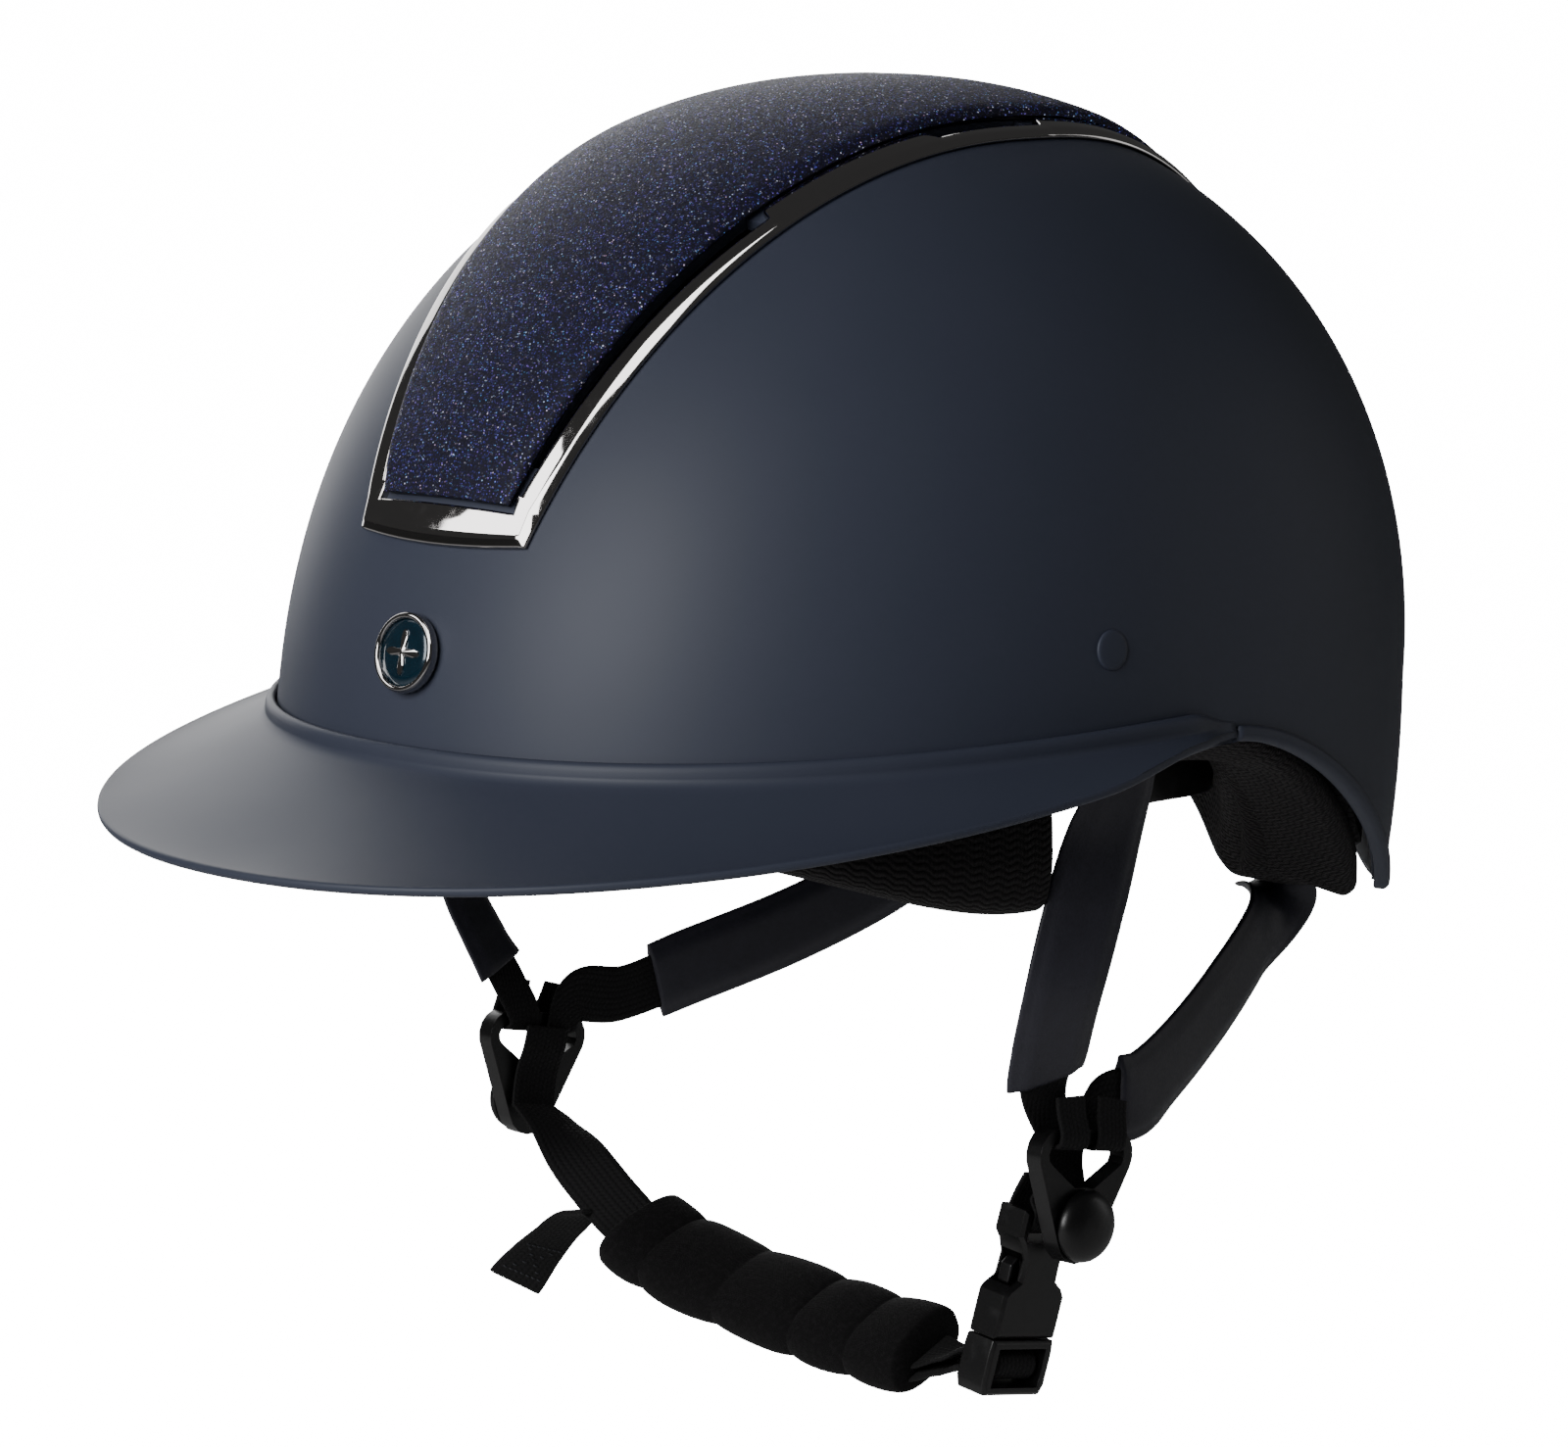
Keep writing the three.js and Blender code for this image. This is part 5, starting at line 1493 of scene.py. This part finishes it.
@dataclass(frozen=True)
class CrownTrim:
    """Chrome frame over the crown, the glitter panel inside it and the badge.  Angles are in degrees."""

    CORNER: ClassVar[float] = 21.3
    WIDEST: ClassVar[float] = 95.0
    CORNER_HALF: ClassVar[float] = 26.0
    GROWTH: ClassVar[float] = 24.0
    end: float = 146.0
    front_bar: tuple[float, float, float] = (24.3, 6.5, 0.9)
    rear_bar: tuple[float, float, float] = (3.4, 7.0, 1.2)
    rail_span: tuple[float, float] = (24.0, 140.0)
    section: tuple[tuple[float, float], ...] = ((0, GAP), (0.03, 1.25), (0.3, 2.15), (0.65, 2.1), (1, 1.8),
                                                (1, -0.6))
    inset: float = 8.2
    slim_rail: tuple[float, float] = (7.0, 4.6)
    slim_from: float = 25.0
    slim_over: float = 35.0
    panel_span: tuple[float, float] = (24.9, 141.6)
    panel_thick: float = 3.7
    badge_turn: float = 10.4
    star_reach: tuple[float, float] = (1.3, 3.9)

    @classmethod
    def half(cls, angle: Array) -> Array:
        """Return the frame's half width: 26 mm at the front corners, swelling as a sine to 50 mm on top."""
        share = (np.degrees(angle) - cls.CORNER) / (cls.WIDEST - cls.CORNER)
        return cls.CORNER_HALF + cls.GROWTH * np.sin(share * math.pi / 2)

    def rail(self, degrees: Array) -> Array:
        """Work out the rail's width, slim beside each vent and wide between them.

        Args:
            degrees: Turns from the front.

        Returns:
            The width at each turn.
        """
        slim = mix(*self.slim_rail, np.clip((degrees - self.slim_from) / self.slim_over, 0, 1))
        beside = sum(smooth((degrees - a + 1.3) / 0.9) * smooth((b + 1.3 - degrees) / 0.9) for a, b in VENTS)
        return np.where(degrees < VENTS[0][0] + 1, slim, mix(self.inset - 0.4, slim, beside))

    def frame_piece(self) -> bpy.types.Object:
        """Make the frame: one rounded section carried along the front bar, a side, the rear bar and a side.

        Each stretch gives the outer edge's place from the middle and turn, then the inner edge's.

        Returns:
            The piece.
        """
        s = np.linspace(1, -1, 33)
        top, inward, bulge = self.front_bar
        corner, top = math.radians(self.CORNER), math.radians(top)
        front = [self.CORNER_HALF * s, corner - math.radians(bulge) * (1 - s**2),
                 (self.half(top) - inward) * s, top + 0 * s]
        depth, inward, bulge = self.rear_bar
        rear = math.radians(self.end)
        rear_half = self.half(rear)
        back = [rear_half * s[::-1], rear + math.radians(bulge) * (1 - s**2),
                (rear_half - inward) * s[::-1], rear - math.radians(depth) + 0 * s]
        d = np.linspace(*self.rail_span, 233)
        half = self.half(np.radians(d))
        within, inner_turn = half - self.rail(d), np.radians(np.maximum(d, 26))
        left = [-half, np.radians(d), -within, inner_turn]
        right = [half[::-1], np.radians(d)[::-1], within[::-1], inner_turn[::-1]]
        ox, oa, ix, ia = (np.concatenate(parts) for parts in zip(front, left, back, right))
        loops = np.stack([over_crown(mix(ox, ix, share), mix(oa, ia, share), np.full_like(ox, rise))
                          for share, rise in self.section], axis=1)
        piece = weighted(loft("crown_frame", rounded_outline(loops, 0.75, 4), closed=True), 55)
        return WARDROBE.dress(piece, Finish.CHROME, stands_for=["crown_trim"])

    def panel(self) -> bpy.types.Object:
        """Make the padded glitter panel: a strip over the crown whose edges roll down into the frame.

        Returns:
            The piece.
        """
        t = np.linspace(0, 1, 181)
        angle = np.radians(mix(*self.panel_span, t))
        half = self.half(angle) - self.inset
        share = np.sin(np.linspace(-1, 1, 45) * math.pi / 2)
        ends = mix(0.72, 1.0, smooth(np.minimum(t, 1 - t) * 26))
        near_edge = np.clip((np.abs(share) - 0.9) / 0.1, 0, 1)
        roll = mix(0.62, 1.0, np.sqrt(np.maximum(1 - near_edge**2, 0)))
        crown = 1 + 0.06 * (1 - np.abs(share))
        rise = self.panel_thick * ends[:, None] * roll[None, :] * crown[None, :] + GAP
        top = over_crown(share[None, :] * half[:, None], angle[:, None], rise)
        low = over_crown(share[None, ::-1] * half[:, None], angle[:, None], np.full_like(rise, 2.1))
        piece = loft("glitter_panel", np.concatenate([top, low], axis=1))
        piece.data.set_sharp_from_angle(angle=math.radians(60))
        return WARDROBE.dress(piece, Finish.GLITTER, stands_for=["panel_cover"])

    def badge(self) -> None:
        """Make the round badge: polished rim, enamel face and a four-pointed star."""
        seat = over_crown(0.0, math.radians(self.badge_turn), 0.0)
        normal = SHELL.normal(seat)
        rim = [(0, 0.6), (8.4, 0.6), (8.9, 0.9), (9.0, 1.4), (9.0, 2.7), (8.85, 3.1), (8.5, 3.35), (8.1, 3.4),
               (7.75, 3.25), (7.55, 2.9), (7.5, 2.6), (7.5, 1.5), (0, 1.4)]
        piece = turned("badge_ring", rim, seat, normal, vec(1, 0, 0), segments=96)
        WARDROBE.dress(piece, Finish.CHROME, stands_for=["badge_rim"])
        face = [(0, 1.5), (7.4, 1.5), (7.45, 2.3), (7.2, 2.55), (5, 2.72), (2.5, 2.82), (0, 2.85)]
        piece = turned("badge_enamel_face", face, seat, normal, vec(1, 0, 0), segments=96)
        WARDROBE.dress(piece, Finish.ENAMEL, stands_for=["badge_face"])
        turn = np.arange(48) / 48 * FULL_TURN
        waist, arm = self.star_reach
        reach = waist + arm * np.abs(np.cos(2 * turn)) ** 4
        spin = unit(np.cross(UPRIGHT, normal))
        side = np.cross(normal, spin)
        ring = (np.cos(turn)[:, None] * spin + np.sin(turn)[:, None] * side) * reach[:, None]
        levels = ((1, 2.7), (1, 3.1), (0.8, 3.25), (0.1, 3.5))
        star = loft("badge_star", np.stack([seat + ring * scale + normal * h for scale, h in levels]))
        WARDROBE.dress(weighted(star), Finish.CHROME, stands_for=["badge_emblem"])

    def build(self) -> None:
        """Build the frame, the panel and the badge."""
        self.frame_piece()
        self.panel()
        self.badge()
        WARDROBE.repaint("panel_carrier", Finish.PLASTIC)


@dataclass(frozen=True)
class Linings:
    """Impact liner and the soft pads.  Angles are in degrees."""

    brow_end: float = 69.5
    brow_top: float = 22.0
    brow_low: tuple[float, float] = (-17.0, -36.0)
    brow_ledge: float = -9.95
    nape_start: float = 98.5
    nape_top: float = 18.0
    pad_turn: float = 8.0
    recess: tuple[tuple[float, ...], tuple[float, ...]] = ((0, 116, -22), (66, 40, 34))
    lobes: int = 4
    lobe_reach: tuple[float, float] = (24.0, 36.0)

    def brow(self) -> bpy.types.Object:
        """Make the brow pad: a wall against the brow and temples with a thick rolled lower edge.

        Returns:
            The piece.
        """
        angle = np.radians(np.linspace(-self.brow_end, self.brow_end, 161))
        side = smooth((np.abs(angle) - math.radians(20)) / math.radians(48))
        low = mix(*self.brow_low, side)
        inner, outer = CAVITY.reach(angle, -8.0), LINER_OUTER.reach(angle, -14.0) - 1
        ledge = np.full_like(angle, self.brow_ledge)
        top, turn = np.full_like(angle, self.brow_top), np.full_like(angle, self.pad_turn)
        corners = [(PAD_BACK.reach(angle, top), top), (CAVITY.reach(angle, top) + 1, top - 1),
                   (inner - 0.4, 2 + 0 * angle), (inner, low + 7), (inner + 5, low + 1),
                   (mix(inner, outer, 0.6), low), (outer - 3, low + 3), (outer, mix(low, ledge, 0.45)),
                   (outer - 0.5, ledge), (PAD_BACK.reach(angle, ledge), ledge),
                   (PAD_BACK.reach(angle, turn), turn)]
        loops = np.stack([around(angle, radius, z) for radius, z in corners], axis=1)
        piece = loft("brow_cushion", rounded_outline(loops, 4.0, 7))
        return WARDROBE.dress(piece, Finish.KNIT, stands_for=["brow_pad"])

    def nape(self) -> bpy.types.Object:
        """Make the nape pad from ear arch to ear arch, with a recess for the fit dial.

        Returns:
            The piece.
        """
        start = math.radians(self.nape_start)
        angle = np.linspace(start, FULL_TURN - start, 181)
        near = smooth((np.abs(wrap(angle)) - math.radians(63)) / math.radians(10))
        ledge_out = mix(-14.0, np.minimum(rim_at(LINER_OUTER, angle) - 1, -1), near) + 2
        ledge_in = mix(-14.0, np.minimum(rim_at(LINER_INNER, angle, 5, 84) - 1, -5), near) + 2
        outer_low = rim_at(SHELL, angle) - 3
        inner_low = np.minimum(rim_at(CAVITY, angle, 5, 84) + 0.5, -9)
        ri, ro = CAVITY.reach(angle, inner_low), LINER_OUTER.reach(angle, outer_low) + 0.6
        top, turn = np.full_like(angle, self.nape_top), np.full_like(angle, self.pad_turn)
        corners = [(PAD_BACK.reach(angle, top), top), (CAVITY.reach(angle, top - 1) + 0.6, top - 1),
                   (ri, 0 * angle), (ri, inner_low + 5), (ri + 4, inner_low - 0.5),
                   (mix(ri, ro, 0.5), mix(inner_low, outer_low, 0.5) - 2), (ro - 3, outer_low - 1.2),
                   (ro, outer_low + 1), (LINER_OUTER.reach(angle, ledge_out) - 0.5, ledge_out),
                   (PAD_BACK.reach(angle, ledge_in), ledge_in), (PAD_BACK.reach(angle, turn), turn)]
        loops = np.stack([around(angle, radius, z) for radius, z in corners], axis=1)
        piece = loft("nape_cushion", rounded_outline(loops, 3.5, 6))
        carved(piece, [brick("dial_recess", *self.recess)])
        piece.data.set_sharp_from_angle(angle=math.radians(60))
        return WARDROBE.dress(piece, Finish.KNIT, stands_for=["nape_pad"])

    def crown(self) -> bpy.types.Object:
        """Make the crown pad: a shallow cushion with lobes, held under the liner's top.

        Returns:
            The piece.
        """
        angle = np.arange(144) / 144 * FULL_TURN
        reach = np.radians(mix(*self.lobe_reach, 0.5 + 0.5 * np.cos(self.lobes * angle)))
        outer = PAD_BACK.shrunk(0.8)

        def ring(dome: Dome, u: float) -> Array:
            """Return the loop on a dome at a share of the way out."""
            return dome.on_way(angle, math.pi / 2 - reach * u)

        edge = [mix(ring(outer, 1.0), ring(CAVITY, 0.96), t) for t in (0.25, 0.5, 0.75)]
        loops = [ring(outer, u) for u in np.linspace(0.02, 1, 14)] + edge + [
            ring(CAVITY.shrunk(-0.8 * u**6), u) for u in np.linspace(0.95, 0.02, 18)]
        piece = loft("crown_cushion", np.stack(loops))
        return WARDROBE.dress(piece, Finish.KNIT, stands_for=["crown_pad"])

    def build(self) -> None:
        """Build the pads and paint the liner."""
        WARDROBE.repaint("impact_liner", Finish.FOAM)
        self.brow()
        self.nape()
        self.crown()


@dataclass(frozen=True)
class Harness:
    """Front and rear straps with their covers, the dividers and their cam caps."""

    web: float = 15.0
    thick: float = 1.3
    loop: float = 10.5
    cover: tuple[float, float] = (21.0, 3.8)
    ring_x: float = 90.0
    cap_at: tuple[float, float, float] = (92.65, 1.6, -7.6)
    loop_at: float = 6.9
    front_ease: tuple[float, float] = (0.48, 0.6)
    rear_ease: tuple[float, float] = (0.46, 0.6)
    front_cover: tuple[float, float] = (6 / 39, 20 / 39)
    rear_cover: tuple[float, float, float] = (4.6 / 41, 19 / 41, 16 / 41)

    def bar_loop(self, middle: float, sign: int, lean: float) -> list[Stop]:
        """Shape the end of a web: down inside the ring, round its top bar and back up outside.

        Args:
            middle: How far the loop is to the rear of the ring's middle.
            sign: 1 on the left and -1 on the right.
            lean: How far its tail leans to the rear.

        Returns:
            The stops.
        """
        rows = [(-3.35, 0, 13), (-2.881, 0, 10.75), (0, 0, 10.25), (2.881, 0, 10.75), (3.35, 0, 13),
                (1.84, 0.6 * lean, 18), (1.0, lean, 22)]
        return [(hang(sign * (self.ring_x + dx), middle + a, b), REAR) for dx, a, b in rows]

    def front_stops(self, sign: int) -> list[Stop]:
        """Lay out the front strap, from inside the shell to the divider.

        Args:
            sign: 1 on the left and -1 on the right.

        Returns:
            Its stops.
        """
        upper = SHELL.shrunk(4.7)
        wall = [(upper.at_height(math.atan2(109, -y), z), w) for y, z, w in (
            (-27, 31, (0.1, 1, 0.1)), (-23, 14, (0.08, 1, 0.1)), (-20, 1, (0.08, 1, 0)))]
        free = [((104.6, -19, -9), (0.16, 1, 0)), ((102, -21, -20), (0.3, 1, 0)),
                ((101, -26, -35), (0.38, 1, 0)),
                ((98.6, -30.2, -54), (0.38, 1, 0)), ((92.6, -27.4, -69), (0.3, 1, -0.05)),
                ((88, -23.8, -80), (0.15, 1, -0.1))]
        flip = vec(sign, 1, 1)
        stops = [(vec(*p) * flip, vec(*w) * flip) for p, w in wall + free]
        return stops + self.bar_loop(-self.loop_at, sign, -1)

    def rear_stops(self, sign: int) -> list[Stop]:
        """Lay out the rear strap, from inside the nape to the divider; the right one sags a little.

        Args:
            sign: 1 on the left and -1 on the right.

        Returns:
            Its stops.
        """
        sag = 0.0 if sign > 0 else 2.5
        down = (0, 0.1, -1)
        rows = [((54, 109, -34), (0.88, -0.5, 0)), ((53.5, 111, -47), (0.85, -0.5, -0.1)),
                ((56, 105.5, -58.5), (0.5, -0.3, -0.8)), ((61.5, 90, -67), down),
                ((69.5, 64, -77 + sag * 0.2), down),
                ((79.5, 34, -84.2 - sag * 0.2), down), ((85.2, 14, -88 - sag * 0.6), (0, 0.4, -0.9))]
        flip = vec(sign, 1, 1)
        turn = [(hang(sign * 86.3, 9.9, 19.4), vec(0, 0.8, -0.6))]
        stops = [(vec(*p) * flip, vec(*w) * flip) for p, w in rows]
        return stops + turn + self.bar_loop(self.loop_at, sign, 1)

    def strap(self, name: str, side: str, stops: list[Stop], ease: tuple[float, float],
              covered: tuple[float, float]) -> None:
        """Make one strap: its webbing narrows into the loop, and a sewn cover runs over part of it.

        Args:
            name: front or rear.
            side: left or right.
            stops: The strap's stops.
            ease: Shares of the way between which it narrows.
            covered: Shares of the way between which the cover lies.
        """
        run = Run.along(stops, 260)
        t = np.linspace(0, 1, 260)
        width = mix(self.web, self.loop, smooth((t - ease[0]) / (ease[1] - ease[0])))
        webbing = loft(f"{name}_webbing_{side}", run.loops(woven_outline(), width, self.thick))
        WARDROBE.dress(webbing, Finish.WEBBING, stands_for=[f"{name}_web_{side}"])
        part = Run.along(stops, 110, *covered)
        s = np.linspace(0, 1, 110)
        pinch = 1 - 0.12 * np.exp(-(np.minimum(s, 1 - s) / 0.012) ** 2)
        width, thick = self.cover
        sleeve = loft(f"{name}_sleeve_{side}", part.loops(sewn_outline(), width, thick * pinch))
        WARDROBE.dress(sleeve, Finish.LEATHER, stands_for=[f"{name}_cover_{side}"])

    def dividers(self) -> None:
        """Make the divider rings and the cam caps on them."""
        profile = [(0, 0), (8.0, 0), (8.5, 0.25), (8.6, 0.8), (8.35, 1.6), (7.9, 2.3), (7.2, 3.0), (6.0, 3.7),
                   (4.2, 4.15), (2.0, 4.4), (0, 4.5)]
        for side, sign in SIDES:
            ring = weighted(merged_copy(f"divider_{side}", f"divider_ring_{side}", 0.75, 3), 32)
            WARDROBE.dress(ring, Finish.PLASTIC, stands_for=[f"divider_{side}"])
            x, rear, up = self.cap_at
            cap = turned(f"cam_cover_{side}", profile, hang(sign * x, rear, up), vec(sign, 0, 0), REAR, 1.12)
            WARDROBE.dress(cap, Finish.PLASTIC, f"cam_{side}", [f"cam_cap_{side}"])

    def build(self) -> None:
        """Build both sides."""
        for side, sign in SIDES:
            self.strap("front", side, self.front_stops(sign), self.front_ease, self.front_cover)
            start, left_end, right_end = self.rear_cover
            covered = (start, left_end if sign > 0 else right_end)
            self.strap("rear", side, self.rear_stops(sign), self.rear_ease, covered)
        self.dividers()


@dataclass(frozen=True)
class ChinStrap:
    """Chin strap with its cushion, the side-release buckle and the loose tail."""

    web: float = 15.0
    thick: float = 1.3
    lean: float = math.radians(7.1)
    buckle_at: tuple[float, float, float] = (77.5, 0, -36)
    cushion_span: tuple[float, float] = (29 / 80, 66 / 80)
    cushion_size: tuple[float, float] = (27.0, 15.5)
    lobes: int = 5
    tail_thick: float = 1.6
    box_half: float = 5.0
    box_back: float = 9.0

    def in_buckle(self, s: float, t: float) -> Array:
        """Find a point of the buckle.

        Args:
            s: How far up along it.
            t: How far out through its face.

        Returns:
            The point.
        """
        up = vec(math.sin(self.lean), 0, 0) + math.cos(self.lean) * UP
        out = vec(math.cos(self.lean), 0, 0) - math.sin(self.lean) * UP
        return hang(*self.buckle_at) + up * s + out * t

    def path(self) -> list[Stop]:
        """Lay out the strap from the right divider to the buckle.

        Returns:
            Its stops.
        """
        rows = [(-86.2, -9), (-79.6, -12.2), (-64.1, -22.2), (-52, -29.4), (-40.3, -34.8), (-22, -39.2),
                (11.3, -43), (30, -44.4), (51, -45), (62, -43.8), (69, -41.2)]
        return [(hang(x, 0, b), self.twist(x)) for x, b in rows]

    def twist(self, x: float) -> Array:
        """Return the way that the strap is wide: tipped to the neck on its bare stretch and cushion."""
        level = mix(REAR, vec(0, 0.92, 0.38), float(smooth((x + 75) / 30) * smooth((68 - x) / 16)))
        return mix(level, vec(0.25, 0.72, 0.62), float(smooth((x + 83) / 13) * smooth((-39 - x) / 12)))

    def band(self, name: str, stops: list[Stop], count: int) -> bpy.types.Object:
        """Make a bare band through stops.

        Args:
            name: Name of the piece.
            stops: Its stops.
            count: How many stations it has.

        Returns:
            The new object.
        """
        return loft(name, Run.along(stops, count).loops(woven_outline(), self.web, self.thick))

    def webbing(self) -> None:
        """Make the chin web, round the buckle's bar and back, and the short webs in both rings."""
        bar = [(-3.8, -3.2), (-3.7, 0), (-4.6, 2.5), (-6.9, 3.3), (-9.2, 2.5), (-10.1, 0), (-10, -3.2),
               (-10, -7)]
        back = [(hang(x, 0, b), self.twist(x)) for x, b in ((62, -47.2), (53, -47.8))]
        stops = self.path() + [(self.in_buckle(s, t), REAR) for s, t in bar] + back
        WARDROBE.dress(self.band("chin_webbing", stops, 320), Finish.WEBBING, "chin_strap", ["chin_web"])
        down = ((-84.8, 11.5), (-85.2, 6), (-86.6, 0), (-86.5, -7.6), (-86.1, -9.6))
        anchor = self.band("chin_anchor", [(hang(x, 0, b), REAR) for x, b in down], 50)
        WARDROBE.dress(anchor, Finish.WEBBING, stands_for=["chin_anchor_web"])
        ring = [(hang(x, 0, b), REAR) for x, b in ((84.8, 11.5), (85.2, 6), (86.5, 1))]
        eye = [(33.4, 1.8), (30.4, 3.95), (27.4, 3.75), (25.9, 2.2), (25.4, 0), (25.9, -2.2), (27.4, -3.75),
               (30.4, -3.95), (34, -3.2), (38.5, -1.8)]
        hanger = self.band("buckle_webbing", ring + [(self.in_buckle(s, t), REAR) for s, t in eye], 180)
        WARDROBE.dress(hanger, Finish.WEBBING, stands_for=["buckle_web"])

    def cushion(self) -> None:
        """Make the quilted cushion: an oval section that swells into lobes, higher at its rear edge."""
        run = Run.along(self.path(), 260, *self.cushion_span)
        run = replace(run, at=run.at + UP * 0.4)
        s = np.linspace(0, 1, 260)
        lobe = np.sqrt(np.abs(np.sin(s * self.lobes * math.pi)))
        near = np.minimum(s, 1 - s)
        tip = np.sqrt(np.clip(1 - (1 - np.clip(near / 0.03, 0, 1)) ** 2, 0.06, 1))
        puff = (0.80 + 0.20 * lobe) * tip
        width, thick = self.cushion_size
        piece = loft("chin_cushion", run.loops(squircle(56, 2.5), width * mix(1.0, puff, 0.5), thick * puff))
        WARDROBE.dress(piece, Finish.PAD, "chin_strap", ["chin_pad"])

    def buckle(self) -> None:
        """Round the edges of the buckle's halves and prongs."""
        rows = (("buckle_female", "helmet"), ("buckle_male", "chin_strap"),
                ("buckle_prong_front", "prong_front"), ("buckle_prong_rear", "prong_rear"))
        for node, body in rows:
            piece = weighted(merged_copy(node, f"{node}_moulding", 0.45, 2), 32)
            WARDROBE.dress(piece, Finish.PLASTIC, body, [node])

    def tail(self) -> None:
        """Make the loose tail beyond the right divider, with a boxed cross of stitches."""
        rows = [(-57, -31.4), (-64, -32.6), (-71, -38.5), (-78, -46), (-84, -54)]
        ends = vec(0.74, 0.55, 0.38)
        stops = [(hang(x, 0, b), mix(REAR, ends, i / 4)) for i, (x, b) in enumerate(rows)]
        run = Run.along(stops, 90)
        piece = loft("loose_tail", run.loops(woven_outline(), self.web, self.tail_thick))
        WARDROBE.dress(piece, Finish.WEBBING, "chin_strap", ["strap_tail"])
        marks = np.linspace(-1, 1, 7)
        edges = [(m, e) for m in marks for e in (-1, 1)]
        cross = [(m, k * m) for m in marks[1:-1] for k in (-1, 1)]
        across, along = (np.array(edges + cross) * self.box_half).T
        length = run.travelled()
        index = np.clip(np.searchsorted(length, length[-1] - self.box_back + along), 1, len(length) - 2)
        lift = self.tail_thick / 2 + 0.05
        middle = np.concatenate([run.point(index, across, np.full(len(across), t)) for t in (-lift, lift)])
        forward = np.tile(run.across[index], (2, 1))
        up = np.concatenate([run.face[index] * k for k in (-1, 1)])
        WARDROBE.dress(stitches("tail_thread", middle, forward, up, 1.6, 0.24), Finish.THREAD, "chin_strap")

    def build(self) -> None:
        """Build the whole chin strap."""
        self.webbing()
        self.cushion()
        self.buckle()
        self.tail()


@dataclass(frozen=True)
class FitCradle:
    """Nape cradle arms, the fit dial, its housing and the racks.  Angles are in degrees."""

    clearance: float = 3.6
    span: tuple[float, float] = (104.0, 161.0)
    height: tuple[float, float] = (-16.0, -17.0)
    half_width: tuple[float, float] = (5.0, 9.0)
    half_thick: float = 0.9

    def arms(self) -> None:
        """Make the cradle arms: thin bands that widen towards the dial."""
        dome = CAVITY.shrunk(self.clearance)
        for side, sign in SIDES:
            t = np.linspace(0, 1, 81)
            angle = sign * np.radians(mix(*self.span, t))
            foot = dome.at_height(angle, mix(*self.height, smooth(t * 1.1)))
            out = unit(foot * LEVEL) * self.half_thick
            up = UPRIGHT * mix(*self.half_width, smooth(t * 1.3))[:, None]
            corners = [(-1, -1), (1, -1), (1, 1), (-1, 1)]
            loops = np.stack([foot + out * o + up * k for o, k in corners], axis=1)
            piece = weighted(loft(f"cradle_{side}", rounded_outline(loops, 0.7, 4)), 50)
            WARDROBE.dress(piece, Finish.PLASTIC, stands_for=[f"cradle_arm_{side}"])

    def dial(self) -> None:
        """Round the edges of the dial, its housing, the pinion and the racks."""
        rows = (("fit_dial_housing", "helmet", 0.6), ("fit_dial_knob", "fit_dial", 0.3),
                ("fit_pinion", "fit_dial", 0.1), ("fit_rack_left", "rack_left", 0.25),
                ("fit_rack_right", "rack_right", 0.25))
        for node, body, bevel in rows:
            piece = weighted(merged_copy(node, f"{node}_moulding", bevel, 2), 32)
            WARDROBE.dress(piece, Finish.PLASTIC, body, [node])

    def build(self) -> None:
        """Build the cradle."""
        self.arms()
        self.dial()


def write_sizes() -> None:
    rows = {"frame": [list(map(float, corner)) for corner in CAD_BOX],
            "pieces": [list(map(float, corner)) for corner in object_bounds()]}


def main() -> None:
    """Build the scene: camera first, then the helmet from the shell down to the chin strap."""
    logging.basicConfig(level=logging.INFO, format="%(message)s")
    studio = Studio()
    studio.place_camera()
    for part in (ShellAndPeak(), CrownTrim(), Linings(), Harness(), ChinStrap(), FitCradle()):
        LOG.info("building %s", type(part).__name__)
        part.build()
    studio.build()
    write_sizes()


if __name__ == "__main__":
    main()
